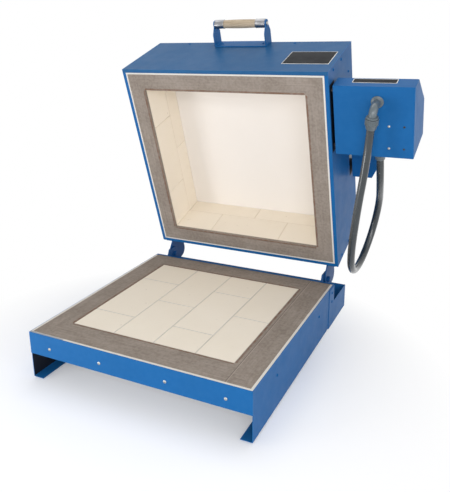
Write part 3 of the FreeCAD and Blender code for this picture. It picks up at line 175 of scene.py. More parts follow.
def add(tree, kind, links=None, **settings):
    """Adds a node, sets its properties, then its sockets: a value is set and a socket is linked."""
    node = tree.nodes.new(kind)
    for key, value in settings.items():
        setattr(node, key, value)
    for key, value in (links or {}).items():
        if isinstance(value, bpy.types.NodeSocket):
            tree.links.new(value, node.inputs[key])
        else:
            node.inputs[key].default_value = value
    return node


def math_node(tree, operation, a, b=0.0, clamp=False):
    return add(tree, "ShaderNodeMath", {0: a, 1: b}, operation=operation, use_clamp=clamp).outputs[0]


def times(tree, a, b, clamp=False):
    return math_node(tree, "MULTIPLY", a, b, clamp)


def plus(tree, a, b, clamp=False):
    return math_node(tree, "ADD", a, b, clamp)


def minus(tree, a, b):
    return math_node(tree, "SUBTRACT", a, b)


def remap(tree, value, low, high, out_low=0.0, out_high=1.0):
    links = {"Value": value, "From Min": low, "From Max": high, "To Min": out_low, "To Max": out_high}
    return add(tree, "ShaderNodeMapRange", links).outputs[0]


def object_place(tree):
    return add(tree, "ShaderNodeTexCoord").outputs["Object"]


def xyz(tree, x, y, z):
    return add(tree, "ShaderNodeCombineXYZ", {0: x, 1: y, 2: z}).outputs[0]


def around_half(tree, value, reach):
    """Spreads what lies within reach of a half over nought to one."""
    return remap(tree, value, minus(tree, 0.5, reach), plus(tree, 0.5, reach))


def eye_rays(tree):
    """One for a ray that the camera sees, straight or by a reflection."""
    rays = tree.nodes.new("ShaderNodeLightPath").outputs
    return math_node(tree, "MAXIMUM", rays["Is Camera Ray"], rays["Is Glossy Ray"])


def noise_field(tree, place, scale, detail, **more):
    links = {"Vector": place, "Scale": scale, "Detail": detail, **more}
    return add(tree, "ShaderNodeTexNoise", links).outputs["Fac"]


# %% Blotch group
def make_blotch_group():
    group, inputs = new_group("Shader", "blotch", floats("Scale", "Contrast", "Seed"), floats("Mask"))
    links = {"Vector": object_place(group), "W": inputs["Seed"], "Scale": inputs["Scale"], "Detail": 4.0}
    cloud = add(group, "ShaderNodeTexNoise", links, noise_dimensions="4D").outputs["Fac"]
    reach = minus(group, 0.34, times(group, inputs["Contrast"], 0.24))
    return end_group(group, Mask=around_half(group, cloud, reach))


BLOTCH = make_blotch_group()


# %% Pore group
def make_pore_group():
    group, inputs = new_group("Shader", "pores", floats("Scale", "Amount"), floats("Pits", "Height"))
    place = object_place(group)
    links = {"Vector": place, "Scale": inputs["Scale"]}
    cells = add(group, "ShaderNodeTexVoronoi", links).outputs["Distance"]
    rare = noise_field(group, place, times(group, inputs["Scale"], 0.35), 2.0)
    near = remap(group, cells, 0.1, 0.36, 1.0, 0.0)
    limit = minus(group, 0.72, times(group, inputs["Amount"], 0.3))
    chosen = times(group, minus(group, rare, limit), 12.0, clamp=True)
    pits = times(group, near, chosen, clamp=True)
    fine = noise_field(group, place, times(group, inputs["Scale"], 2.2), 3.0)
    height = minus(group, times(group, fine, 0.35), pits)
    return end_group(group, Pits=pits, Height=height)


PORES = make_pore_group()


# %% Streak group
def make_streak_group():
    group, inputs = new_group("Shader", "streaks", floats("X", "Y", "Z", "Sharpness"), floats("Mask"))
    scale = xyz(group, inputs["X"], inputs["Y"], inputs["Z"])
    stretched = {0: object_place(group), 1: scale}
    stretched = add(group, "ShaderNodeVectorMath", stretched, operation="MULTIPLY").outputs[0]
    lines = noise_field(group, stretched, 1.0, 5.0, Roughness=0.65, Distortion=0.3)
    half = times(group, minus(group, 1.05, inputs["Sharpness"]), 0.4)
    return end_group(group, Mask=around_half(group, lines, half))


STREAKS = make_streak_group()
print("groups:", BLOTCH.name, PORES.name, STREAKS.name)


# %% Material helpers
def new_material(name, roughness=0.5, metallic=0.0, **sockets):
    """A material with a Principled BSDF whose constant values sit on its own sockets."""
    material = bpy.data.materials.new(name)
    material.use_nodes = True
    inputs = material.node_tree.nodes["Principled BSDF"].inputs
    inputs["Roughness"].default_value = roughness
    inputs["Metallic"].default_value = metallic
    for label, value in sockets.items():
        inputs[label.replace("_", " ")].default_value = value
    return material, material.node_tree


def use_group(tree, group, **values):
    node = tree.nodes.new("ShaderNodeGroup")
    node.node_tree = group
    for label, value in values.items():
        node.inputs[label].default_value = value
    return node.outputs


def blotches(tree, scale, contrast, seed):
    return use_group(tree, BLOTCH, Scale=scale, Contrast=contrast, Seed=seed)["Mask"]


def streaks(tree, x, y, z, sharpness):
    return use_group(tree, STREAKS, X=x, Y=y, Z=z, Sharpness=sharpness)["Mask"]


def mix_colour(tree, factor, a, b):
    a, b = [value if isinstance(value, bpy.types.NodeSocket) else (*value, 1.0) for value in (a, b)]
    return add(tree, "ShaderNodeMix", {0: factor, 6: a, 7: b}, data_type="RGBA").outputs[2]


def lay(tree, base, colour, mask, amount):
    """A colour laid over the base where the mask is, never more than the amount."""
    return mix_colour(tree, times(tree, mask, amount), base, colour)


def wire(material, colour, height, strength, distance, rough=None):
    """The last step of a material: links its colour, its bump, and its roughness where that varies."""
    tree = material.node_tree
    relief = {"Height": height, "Strength": strength, "Distance": distance}
    relief = add(tree, "ShaderNodeBump", relief).outputs["Normal"]
    for label, socket in (("Base Color", colour), ("Normal", relief), ("Roughness", rough)):
        if socket:
            tree.links.new(socket, tree.nodes["Principled BSDF"].inputs[label])
    return material


def mark(tree, name):
    """The value that a mesh holds under this name, such as its worn edges or a brick's own tone."""
    node = add(tree, "ShaderNodeAttribute", attribute_name=name, attribute_type="GEOMETRY")
    return node.outputs["Fac"]


def worn_edges(tree):
    patchy = blotches(tree, 38.0, 0.5, 3.0)
    return times(tree, mark(tree, "edge"), patchy)


def scaled(colour, amount):
    return tuple(min(1.0, c * amount) for c in colour)


# %% [markdown]
# ## Finishes
#
# Powder coat is a thick, smooth, slightly rippled paint. It pales a little where a folded edge has been
# handled, and it mirrors a white studio at a grazing angle. The lid's front sheet, which faces up with the
# lid open, is a little darker and greyer than the rest: painted shade. Brick and fibre are the opposite:
# no gloss at all, full of pores, and each brick was fired a shade lighter or darker than its neighbour.

# %% Powder coat
def powder_coat(name, colour, edge_colour, roughness=0.42):
    material, tree = new_material(name, roughness, Specular_IOR_Level=0.12)
    drift = blotches(tree, 3.5, 0.6, 1.0)
    base = mix_colour(tree, drift, colour, scaled(colour, 0.86))
    worn = lay(tree, base, edge_colour, worn_edges(tree), 0.5)
    dust = blotches(tree, 70.0, 0.9, 8.0)
    worn = lay(tree, worn, scaled(edge_colour, 1.4), dust, 0.02)
    scuffs = blotches(tree, 26.0, 0.8, 7.0)
    rough = remap(tree, scuffs, 0.0, 1.0, roughness - 0.02, roughness + 0.05)
    ripple = noise_field(tree, object_place(tree), 700.0, 1.5)
    return wire(material, worn, ripple, 0.16, 0.0002, rough)


BLUE = powder_coat("blue_powder_coat", (0.010, 0.122, 0.350), (0.09, 0.30, 0.60))
# Painted shade: a near-black coat for the inside of the legs and the strip of wall behind the boxes.
PAINTED_SHADE_BLUE = powder_coat("painted_shade_coat", (0.010, 0.013, 0.022), (0.03, 0.04, 0.06), 0.6)
# Painted shade: the lid's front sheet faces up with the lid open and gets this darker, greyer coat.
TOP_SHADE_BLUE = powder_coat("top_shade_coat", (0.018, 0.109, 0.270), (0.09, 0.28, 0.52))
HINGE_BLUE = powder_coat("hinge_powder_coat", (0.009, 0.075, 0.235), (0.06, 0.20, 0.45))
FASCIA = powder_coat("fascia_powder_coat", (0.016, 0.017, 0.019), (0.10, 0.10, 0.11), 0.5)


# %% Brick, fibre and board
def fired_clay(name, light, dark, pit, joint, scale, amount, strength, specked=0.6):
    """Porous pale ceramic: each piece its own tone, pits, specks, and a soiled worn edge."""
    material, tree = new_material(name, 0.93, Specular_IOR_Level=0.2)
    cloud = blotches(tree, 9.0, 0.5, 2.0)
    tone = times(tree, mark(tree, "tone"), 0.55)
    blend = plus(tree, tone, times(tree, cloud, 0.45), clamp=True)
    base = mix_colour(tree, blend, light, dark)
    pores = use_group(tree, PORES, Scale=scale, Amount=amount)
    base = lay(tree, base, pit, pores["Pits"], 0.4)
    specks = use_group(tree, PORES, Scale=110.0, Amount=0.16)["Pits"]
    base = lay(tree, base, scaled(pit, 0.55), specks, specked)
    base = lay(tree, base, joint, mark(tree, "edge"), 0.62)
    return wire(material, base, pores["Height"], strength, 0.0008)


HEARTH = fired_clay("hearth_brick", (0.875, 0.805, 0.695), (0.820, 0.745, 0.630), (0.62, 0.54, 0.44),
                    (0.42, 0.415, 0.41), 520.0, 0.5, 0.3)
WALL = fired_clay("wall_brick", (0.915, 0.840, 0.725), (0.870, 0.785, 0.660), (0.60, 0.46, 0.31),
                  (0.58, 0.47, 0.35), 520.0, 0.4, 0.28)
LINE = fired_clay("white_fibre", (0.76, 0.735, 0.69), (0.66, 0.62, 0.56), (0.44, 0.35, 0.27),
                  (0.46, 0.33, 0.25), 900.0, 0.5, 0.5)
BOARD = fired_clay("roof_fibre_board", (0.865, 0.825, 0.785), (0.845, 0.802, 0.758), (0.80, 0.73, 0.66),
                   (0.70, 0.62, 0.54), 700.0, 0.1, 0.10, 0.0)
BLANKET = fired_clay("fibre_blanket", (0.86, 0.84, 0.80), (0.80, 0.78, 0.74), (0.6, 0.57, 0.52),
                     (0.6, 0.57, 0.52), 300.0, 0.4, 0.6)


# %% Rim cement
SCORE_IN = 13 * MM
SCORE_W = 1.1 * MM


def rim_cement(name, score_x=None):
    """Trowelled grey-brown cement with a brown soiled edge and, if asked, a scored line: a groove darkened by
    painted shade beside a ridge lightened by a painted highlight.
    """
    material, tree = new_material(name, 0.88, Specular_IOR_Level=0.25)
    along = streaks(tree, 7.0, 210.0, 210.0, 0.66)
    across = streaks(tree, 210.0, 7.0, 7.0, 0.66)
    cloud = blotches(tree, 16.0, 0.55, 5.0)
    pale = blotches(tree, 150.0, 1.0, 9.0)
    base = mix_colour(tree, cloud, (0.325, 0.275, 0.234), (0.240, 0.200, 0.166))
    side = mark(tree, "tone")
    stroke = times(tree, along, minus(tree, 1.0, side))
    stroke = plus(tree, stroke, times(tree, across, side))
    base = lay(tree, base, (0.155, 0.125, 0.105), stroke, 0.42)
    base = lay(tree, base, (0.50, 0.45, 0.40), pale, 0.17)
    ragged = blotches(tree, 75.0, 1.0, 12.0)
    ragged = remap(tree, ragged, 0.0, 1.0, 0.5, 1.0)
    stain = times(tree, mark(tree, "edge"), ragged)
    base = mix_colour(tree, stain, base, (0.165, 0.082, 0.048))
    pores = use_group(tree, PORES, Scale=300.0, Amount=0.5)
    base = lay(tree, base, (0.09, 0.075, 0.06), pores["Pits"], 0.5)
    height = plus(tree, times(tree, stroke, 0.6), pores["Height"])
    # The scored line: its groove is a bump and is also darkened with painted shade, and the ridge beside it is
    # lightened with a painted highlight.
    if score_x is not None:
        x = add(tree, "ShaderNodeSeparateXYZ", {0: object_place(tree)}).outputs["X"]
        groove, ridge_highlight = [remap(tree, math_node(tree, "ABSOLUTE", minus(tree, x, score_x + off)),
                               SCORE_W * 0.4, SCORE_W, 1.0, 0.0) for off in (0.0, 2 * SCORE_W)]
        base = lay(tree, base, (0.12, 0.09, 0.075), groove, 0.7)
        base = lay(tree, base, (0.50, 0.43, 0.37), ridge_highlight, 0.5)
        height = minus(tree, height, groove)
    return wire(material, base, height, 0.45, 0.0007)


CEMENT = rim_cement("rim_cement")
hearth_low, hearth_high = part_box("floor_bricks")
BASE_CEMENT = rim_cement("base_rim_cement", hearth_high.x + SCORE_IN)


# %% Metals
def brushed(name, colour, roughness, streak=(40.0, 900.0, 900.0)):
    material, tree = new_material(name, roughness, 1.0)
    mask = streaks(tree, *streak, 0.5)
    dull = blotches(tree, 60.0, 0.8, 4.0)
    base = lay(tree, colour, scaled(colour, 0.62), dull, 0.5)
    base = lay(tree, base, scaled(colour, 0.4), mark(tree, "edge"), 0.35)
    rough = remap(tree, mask, 0.0, 1.0, roughness - 0.06, roughness + 0.1)
    return wire(material, base, mask, 0.08, 0.0001, rough)


ZINC = brushed("zinc_plate", (0.52, 0.52, 0.50), 0.36)
# Painted shade: near-black steel, used only for the spacers and terminal plate in the gap behind the boxes.
GAP_SHADE_STEEL = brushed("gap_shade_steel", (0.07, 0.07, 0.075), 0.45)
BRIGHT = brushed("bright_steel", (0.34, 0.34, 0.35), 0.34, (500.0, 60.0, 60.0))
PLATE_EDGE = brushed("plate_aluminium", (0.66, 0.65, 0.62), 0.34)
GALVANISED = brushed("galvanised_sheet", (0.45, 0.46, 0.47), 0.42, (60.0, 60.0, 60.0))
ELEMENT = brushed("element_alloy", (0.20, 0.17, 0.15), 0.55)


# %% Wood
def turned_wood():
    material, tree = new_material("grip_wood", 0.58, Specular_IOR_Level=0.35)
    grain = streaks(tree, 26.0, 520.0, 520.0, 0.75)
    broad = streaks(tree, 10.0, 130.0, 130.0, 0.5)
    base = mix_colour(tree, broad, (0.575, 0.475, 0.345), (0.455, 0.360, 0.250))
    base = lay(tree, base, (0.30, 0.225, 0.145), grain, 0.55)
    base = lay(tree, base, (0.25, 0.19, 0.13), mark(tree, "edge"), 0.5)
    return wire(material, base, grain, 0.3, 0.0003, remap(tree, grain, 0.0, 1.0, 0.5, 0.7))


WOOD = turned_wood()


# %% Plastics, rubber and enamel
def moulded(name, colour, roughness, coat=0.0, grain=0.15, shine=0.5):
    material, tree = new_material(name, roughness, Coat_Weight=coat, Coat_Roughness=0.2,
                                  Specular_IOR_Level=shine)
    drift = blotches(tree, 22.0, 0.6, 6.0)
    base = mix_colour(tree, drift, colour, scaled(colour, 0.78))
    pale = tuple(min(1.0, c * 1.5 + 0.03) for c in colour)
    worn = lay(tree, base, pale, worn_edges(tree), 0.35)
    rough = remap(tree, drift, 0.0, 1.0, roughness - 0.05, roughness + 0.07)
    fine = noise_field(tree, object_place(tree), 1500.0, 2.0)
    return wire(material, worn, fine, grain, 0.00015, rough)


FITTING = moulded("grey_fitting", (0.112, 0.140, 0.156), 0.38, 0.3)
HOSE_GREY = moulded("grey_conduit", (0.027, 0.035, 0.040), 0.26, 0.8, 0.05, 0.35)
RUBBER = moulded("foot_rubber", (0.022, 0.022, 0.024), 0.75)
BLACK = moulded("black_moulding", (0.02, 0.02, 0.022), 0.4, 0.2)
ENAMEL = moulded("black_enamel", (0.014, 0.015, 0.017), 0.5, 0.0, 0.02, 0.08)
KEY = moulded("grey_key", (0.42, 0.44, 0.46), 0.5)
WINDOW = moulded("smoked_window", (0.03, 0.006, 0.006), 0.12, 0.8, 0.0)
LAMINATE = moulded("green_laminate", (0.03, 0.16, 0.07), 0.45, 0.3)
GLAZED = moulded("glazed_bushing", (0.78, 0.75, 0.68), 0.3, 0.4, 0.05)


# %% Base fibre line
BARE_FROM, BARE_TO = MIDDLE_X - HALF * 0.66, MIDDLE_X - HALF * 0.64
FRONT_EDGE = MIDDLE_Y - HALF


def base_line():
    """White fibre whose front left end shows the bare edge of the pan beside it."""
    material = LINE.copy()
    material.name = "base_fibre_line"
    tree = material.node_tree
    shader = tree.nodes["Principled BSDF"]
    colour = shader.inputs["Base Color"].links[0].from_socket
    parts = add(tree, "ShaderNodeSeparateXYZ", {0: object_place(tree)}).outputs
    left = remap(tree, parts["X"], BARE_FROM, BARE_TO, 1.0, 0.0)
    front = remap(tree, parts["Y"], FRONT_EDGE + 4 * MM, FRONT_EDGE + 9 * MM, 1.0, 0.0)
    bare = times(tree, left, front)
    dusty = lay(tree, colour, (0.26, 0.30, 0.36), bare, 0.85)
    tree.links.new(dusty, shader.inputs["Base Color"])
    return material


BASE_LINE = base_line()
print("materials:", len(bpy.data.materials))


# %% The finish of every slot
FINISH = {
    "blue_paint": BLUE, "hinge_paint": HINGE_BLUE, "fascia_paint": FASCIA, "bare_steel": GALVANISED,
    "screw_steel": ZINC, "bolt_steel": ZINC, "fibre": LINE, "rim_board": CEMENT, "floor_brick": HEARTH,
    "wall_brick": WALL, "roof_board": BOARD, "blanket": BLANKET, "foot_rubber": RUBBER,
    "element_alloy": ELEMENT, "terminal_steel": ZINC, "bushing_ceramic": GLAZED, "sensor_alloy": ELEMENT,
    "handle_steel": BLUE, "ferrule_steel": BRIGHT, "grip_wood": WOOD, "rod_steel": ZINC,
    "black_plate": ENAMEL, "silver_plate": ENAMEL, "relay_plastic": BLACK, "window_plastic": WINDOW,
    "board_laminate": LAMINATE, "black_plastic": BLACK, "key_rubber": KEY, "rocker_plastic": BLACK,
    "fitting_plastic": FITTING, "conduit_plastic": HOSE_GREY,
}
slot_of = {part["node"]: part["material_slot"] for part in frame["record"]["subparts"]}
for name, node in nodes.items():
    node.data.materials.clear()
    node.data.materials.append(FINISH[slot_of[name]])
print("finishes:", len(FINISH))

# %% Riding and naming
body_of_node = {n: body for body, names in frame["record"]["behaviour"]["bodies"].items() for n in names}
done = set()


def finish_piece(piece, replaced, body=None):
    """Rides a finished piece on its node's body, and hides the nodes that it stands for."""
    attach(piece, body or body_of_node[replaced[0]])
    if replaced:
        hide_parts(*replaced)
        done.update(replaced)
    return piece


def plain_mesh(shape, name):
    """A mesh from a finished bmesh, which is then freed."""
    mesh = bpy.data.meshes.new(name)
    shape.to_mesh(mesh)
    shape.free()
    return mesh


def mesh_object(name, mesh, *materials):
    """An object of a mesh. An empty list isn't cleared, as that would reset the faces' own materials."""
    piece = in_scene(name, mesh)
    if mesh.materials:
        mesh.materials.clear()
    for material in materials:
        mesh.materials.append(material)
    return piece


# %% [markdown]
# ## The conduit
#
# A plastic conduit is stiff enough to hold an even curve. It leaves the elbow nut, hangs in one deep
# loop beside the lid and climbs back into the gland under the control box. Its line is one smooth curve
# led by a few listed points, the same ones that the solid has.

# %% Conduit
HOSE_D = 20 * MM
HOSE_POINTS_MM = [
    (408.0, 167.0, 578.0), (400.0, 172.0, 500.0), (386.0, 178.0, 400.0), (372.0, 187.0, 265.0),
    (364.0, 256.0, 189.0), (366.0, 357.0, 193.0), (380.0, 419.0, 268.0), (397.0, 408.0, 361.0),
    (411.0, 326.0, 434.0), (414.0, 296.0, 487.0),
]
BOX_LOW, BOX_BACK = 5.6 * MM, 378.0 * MM
ELBOW_X, ELBOW_U = 418.5 * MM, 528.0 * MM
ELBOW_DROP, ELBOW_LEG, ELBOW_TURN = 45.0 * MM, 40.0 * MM, math.radians(7.0)
GLAND_X, GLAND_V, GLAND_LEG = 414.0 * MM, 55.0 * MM, 17.0 * MM
elbow_aim = Vector((-math.sin(ELBOW_TURN), math.cos(ELBOW_TURN), 0.0))
elbow_seat = shut_lid(ELBOW_X, ELBOW_U, BOX_LOW)
elbow_corner = elbow_seat - Vector((0, 0, ELBOW_DROP))
hose_start = TIP_OPEN @ (elbow_corner + elbow_aim * ELBOW_LEG)
hose_end = on_lid(GLAND_X, BOX_BACK - GLAND_LEG, GLAND_V)
hose_points = [on_base(x * MM, y * MM, z * MM) for x, y, z in HOSE_POINTS_MM]
hose_points = [hose_start, *hose_points, hose_end]
curve = bpy.data.curves.new("conduit_hose", "CURVE")
curve.dimensions = "3D"
spline = curve.splines.new("NURBS")
spline.points.add(len(hose_points) - 1)
for place, point in zip(spline.points, hose_points):
    place.co = (*point, 1.0)
spline.order_u = 3
spline.use_endpoint_u = True
spline.resolution_u = 12
curve.bevel_depth = HOSE_D / 2
curve.bevel_resolution = 8
curve.use_fill_caps = True
curve.materials.append(HOSE_GREY)
hose = in_scene("conduit_hose", curve)
finish_piece(hose, ["conduit"])
print("conduit from", short(hose_start), "to", short(hose_end))

# %% [markdown]
# ## Screws
#
# The case is held together by pan-head screws with a cross recess. They repeat, so one Geometry Nodes
# tree makes them all: it squashes a ball to a low dome, cuts a cross out of its top, sets a copy on
# every point of a small mesh, square to the sheet it holds, and gives each its own twist from a fixed
# seed. The base has bright zinc screws in front and behind. Its side screws and the lid's were painted
# with the sheets. The control box has two small bright ones, and eight smaller dark ones.

# %% Geometry Nodes helpers
def new_tree(name, sizes):
    """A geometry tree whose sizes are given between a geometry and a material input."""
    inputs = {"Geometry": "Geometry", **sizes, "Material": "Material"}
    return new_group("Geometry", name, inputs, {"Geometry": "Geometry"})


def end_tree(tree, instances, material):
    real = add(tree, "GeometryNodeRealizeInstances", {"Geometry": instances}).outputs["Geometry"]
    painted = add(tree, "GeometryNodeSetMaterial", {"Geometry": real, "Material": material})
    tree.links.new(painted.outputs["Geometry"], tree.nodes.new("NodeGroupOutput").inputs["Geometry"])


def run_tree(name, tree, source, values):
    """The plain mesh that a tree makes from a source mesh, with its inputs set by identifier."""
    holder = in_scene(name + "_source", source)
    modifier = holder.modifiers.new("repeat", "NODES")
    modifier.node_group = tree
    for item in tree.interface.items_tree:
        if item.item_type == "SOCKET" and item.in_out == "INPUT" and item.name in values:
            modifier[item.identifier] = values[item.name]
    evaluated = holder.evaluated_get(bpy.context.evaluated_depsgraph_get())
    mesh = bpy.data.meshes.new_from_object(evaluated)
    mesh.name = name
    bpy.data.objects.remove(holder)
    return mesh


def rounded_look(mesh, sharp=38.0):
    for face in mesh.polygons:
        face.use_smooth = True
    mesh.set_sharp_from_angle(angle=math.radians(sharp))


# %% Screw tree
def make_screw_tree():
    sizes = floats("Head radius", "Head height", "Slot width", "Slot depth")
    tree, given = new_tree("pan_screws", sizes)
    ball = {"Segments": 20, "Rings": 12, "Radius": 1.0}
    ball = add(tree, "GeometryNodeMeshUVSphere", ball).outputs["Mesh"]
    radius = given["Head radius"]
    size = xyz(tree, radius, radius, given["Head height"])
    dome = add(tree, "GeometryNodeTransform", {"Geometry": ball, "Scale": size}).outputs["Geometry"]
    length = times(tree, radius, 1.15)
    depth = times(tree, given["Slot depth"], 2.0)
    top = xyz(tree, 0.0, 0.0, given["Head height"])
    cross = add(tree, "GeometryNodeMeshBoolean", {"Mesh 1": dome}, operation="DIFFERENCE")
    for x, y in ((length, given["Slot width"]), (given["Slot width"], length)):
        bar = add(tree, "GeometryNodeMeshCube", {"Size": xyz(tree, x, y, depth)}).outputs["Mesh"]
        bar = add(tree, "GeometryNodeTransform", {"Geometry": bar, "Translation": top})
        tree.links.new(bar.outputs["Geometry"], cross.inputs["Mesh 2"])
    outward = add(tree, "GeometryNodeInputNamedAttribute", {"Name": "outward"}, data_type="FLOAT_VECTOR")
    links = {"Vector": outward.outputs["Attribute"]}
    square = add(tree, "FunctionNodeAlignRotationToVector", links, axis="Z")
    limits = {"Min": (0.0, 0.0, 0.0), "Max": (0.0, 0.0, math.pi / 2), "Seed": 5}
    twist = add(tree, "FunctionNodeRandomValue", limits, data_type="FLOAT_VECTOR").outputs["Value"]
    twist = add(tree, "FunctionNodeEulerToRotation", {0: twist}).outputs[0]
    turned = {"Rotation": square.outputs["Rotation"], "Rotate By": twist}
    turned = add(tree, "FunctionNodeRotateRotation", turned, rotation_space="LOCAL").outputs["Rotation"]
    links = {"Points": given["Geometry"], "Instance": cross.outputs["Mesh"], "Rotation": turned}
    placed = add(tree, "GeometryNodeInstanceOnPoints", links).outputs["Instances"]
    end_tree(tree, placed, given["Material"])
    return tree


SCREW_TREE = make_screw_tree()
SCREW_MM = {"Head radius": 4.2, "Head height": 2.2, "Slot width": 1.0, "Slot depth": 1.0}


def screw_heads(name, places, material, replaced, body, size=1.0):
    """Screw heads on (seat, outward) places, turned into one plain mesh."""
    source = bpy.data.meshes.new(name + "_places")
    source.from_pydata([seat for seat, _ in places], [], [])
    outward = source.attributes.new("outward", "FLOAT_VECTOR", "POINT")
    for index, (_, direction) in enumerate(places):
        outward.data[index].vector = direction
    values = {"Material": material}
    for label, length in SCREW_MM.items():
        values[label] = length * MM * (size if "Head" in label else 1.0)
    mesh = run_tree(name, SCREW_TREE, source, values)
    rounded_look(mesh)
    piece = mesh_object(name, mesh, material)
    print(name, len(places), "screws,", len(mesh.polygons), "faces")
    finish_piece(piece, replaced, body)


# %% Screw places
FRONT_OUT, REAR_OUT = Vector((0, -1, 0)), Vector((0, 1, 0))
STAND_T = 1.5 * MM
FRONT_DROP, SIDE_DROP, TAB_DROPS, TAB_IN = 35 * MM, 42 * MM, (48 * MM, 21 * MM), 21 * MM
REAR_SHARE = 0.75
zinc_plated = []
side_painted = []
for x in (-240, -90, 90, 240):
    z = BASE_TOP - FRONT_DROP
    zinc_plated.append((on_base(x * MM, -HALF, z), FRONT_OUT))
    zinc_plated.append((on_base(REAR_SHARE * x * MM, HALF, z), REAR_OUT))
for side in (-1, 1):
    out = Vector((side, 0, 0))
    for y in (-160, 160):
        side_painted.append((on_base(side * HALF, y * MM, BASE_TOP - SIDE_DROP), out))
    for drop in TAB_DROPS:
        side_painted.append((on_base(side * (HALF + STAND_T), HALF - TAB_IN, BASE_TOP - drop), out))
screw_heads("base_screw_heads", zinc_plated, ZINC, ["base_screws"], "base")
screw_heads("base_side_screw_heads", side_painted, BLUE, [], "base")

TIP_TURN = TIP_OPEN.to_3x3()


def lid_place(x, u, v, out):
    return on_lid(x, u, v), TIP_TURN @ Vector(out)


BOX_LEFT, BOX_RIGHT = HALF + 8 * MM, HALF + 204 * MM
BOX_FRONT, BOX_KNEE, BOX_SHOULDER, BOX_HIGH = 567 * MM, 57 * MM, 479 * MM, 149 * MM
LIP_IN = 12 * MM
painted = []
for x in (-190, 146):
    painted.append(lid_place(x * MM, 2 * HALF, LID_D - LIP_IN, (0, -1, 0)))
    painted.append(lid_place(x * MM, 0.0, LID_D - LIP_IN, (0, 1, 0)))
for side in (-1, 1):
    for y in (-233, 233):
        painted.append(lid_place(side * HALF, HALF - y * MM, 183 * MM, (side, 0, 0)))
    for y in (-290.25, 290.25):
        for v in (46, 119):
            painted.append(lid_place(side * HALF, HALF - y * MM, v * MM, (side, 0, 0)))
for x in (-73, 55):
    painted.append(lid_place(x * MM, 2 * HALF + 3 * MM, LID_D - 21 * MM, (0, -1, 0)))
screw_heads("lid_painted_screw_heads", painted, BLUE, ["lid_screws"], "lid")

bright = []
dark = []
BRIGHT_X, DARK_X = BOX_RIGHT - 60 * MM, BOX_RIGHT - 23.5 * MM
for u in (403.5, 464.0):
    bright.append(lid_place(BRIGHT_X, u * MM, BOX_LOW, (0, 0, -1)))
    dark.append(lid_place(DARK_X, u * MM, BOX_LOW, (0, 0, -1)))
for v in (40, 115):
    dark.append(lid_place(DARK_X, BOX_BACK, v * MM, (0, 1, 0)))
slope = Vector((0, BOX_FRONT - BOX_SHOULDER, BOX_HIGH - BOX_KNEE)).normalized()
slope_out = (0, -slope.z, slope.y)
slope_low = Vector((0, BOX_FRONT, BOX_KNEE))
slope_high = Vector((0, BOX_SHOULDER, BOX_HIGH))
for x in (BOX_LEFT + 9 * MM, BOX_RIGHT - 11 * MM):
    for share in (0.055, 0.945):
        spot = slope_low.lerp(slope_high, share)
        dark.append(lid_place(x, spot.y, spot.z, slope_out))
screw_heads("box_bright_screw_heads", bright, ZINC, [], "lid", 0.8)
screw_heads("box_dark_screw_heads", dark, BLACK, [], "lid", 0.7)

# %% [markdown]
# ## Turned fittings
#
# The elbow, the gland and their nuts are round plastic mouldings, and the ferrules on the grip are
# turned metal. Each is a profile spun about its own line. The nuts have finger ribs, so a second tree
# sets ribs on a ring.

# %% Turned shapes
def ring_of(shape, centre, across, other, radius, sides):
    """Vertices round a centre, in the plane of two directions that are square to each other."""
    turns = [2 * math.pi * k / sides for k in range(sides)]
    spokes = [across * math.cos(turn) + other * math.sin(turn) for turn in turns]
    return [shape.verts.new(centre + spoke * radius) for spoke in spokes]


def close_rings(shape, rings):
    """Faces from each ring to the next, and a cap on each end."""
    sides = len(rings[0])
    for low, high in zip(rings, rings[1:]):
        for k in range(sides):
            n = (k + 1) % sides
            shape.faces.new((low[k], low[n], high[n], high[k]))
    shape.faces.new(rings[0][::-1])
    shape.faces.new(rings[-1])


def spin(shape, profile_mm, sides, start, along):
    """Adds a closed turned form to a bmesh, from (radius, distance) pairs along a line."""
    across = along.orthogonal().normalized()
    other = along.cross(across)
    rings = []
    for radius, distance in profile_mm:
        rings.append(ring_of(shape, start + along * (distance * MM), across, other, radius * MM, sides))
    close_rings(shape, rings)


def turned_piece(name, shape, material, part):
    bmesh.ops.recalc_face_normals(shape, faces=shape.faces)
    mesh = plain_mesh(shape, name)
    rounded_look(mesh)
    print(name, len(mesh.polygons), "faces")
    finish_piece(mesh_object(name, mesh, material), [part])


# %% Rib tree
def make_rib_tree():
    sizes = floats("Ring radius", "Rib radius", "Rib length")
    tree, given = new_tree("rib_ring", {**sizes, "Count": "Int"})
    links = {"Vertices": given["Count"], "Radius": given["Ring radius"]}
    ring = add(tree, "GeometryNodeMeshCircle", links).outputs["Mesh"]
    links = {"Vertices": 8, "Radius": given["Rib radius"], "Depth": given["Rib length"]}
    rib = add(tree, "GeometryNodeMeshCylinder", links).outputs["Mesh"]
    placed = add(tree, "GeometryNodeInstanceOnPoints", {"Points": ring, "Instance": rib})
    end_tree(tree, placed.outputs["Instances"], given["Material"])
    return tree


RIB_TREE = make_rib_tree()
RIB_COUNT = 24


def nut_shape(shape, start, along):
    """A compression nut: ribbed barrel, shoulder, and a cone that closes on the conduit."""
    profile = [(12.0, 0.0), (15.6, 0.0), (16.4, 0.8), (16.4, 2.4), (15.2, 3.2), (15.2, 12.8),
               (16.2, 13.6), (16.2, 15.4), (15.0, 17.0), (13.4, 22.0), (12.6, 26.6), (11.2, 28.0),
               (10.1, 28.0)]
    spin(shape, profile, 36, start, along)
    values = {"Ring radius": 15.3 * MM, "Rib radius": 0.9 * MM, "Rib length": 9.4 * MM,
              "Count": RIB_COUNT, "Material": FITTING}
    ribs = run_tree("nut_ribs", RIB_TREE, bpy.data.meshes.new("empty"), values)
    centre = start + along * 8.0 * MM
    ribs.transform(Matrix.Translation(centre) @ along.to_track_quat("Z", "Y").to_matrix().to_4x4())
    shape.from_mesh(ribs)


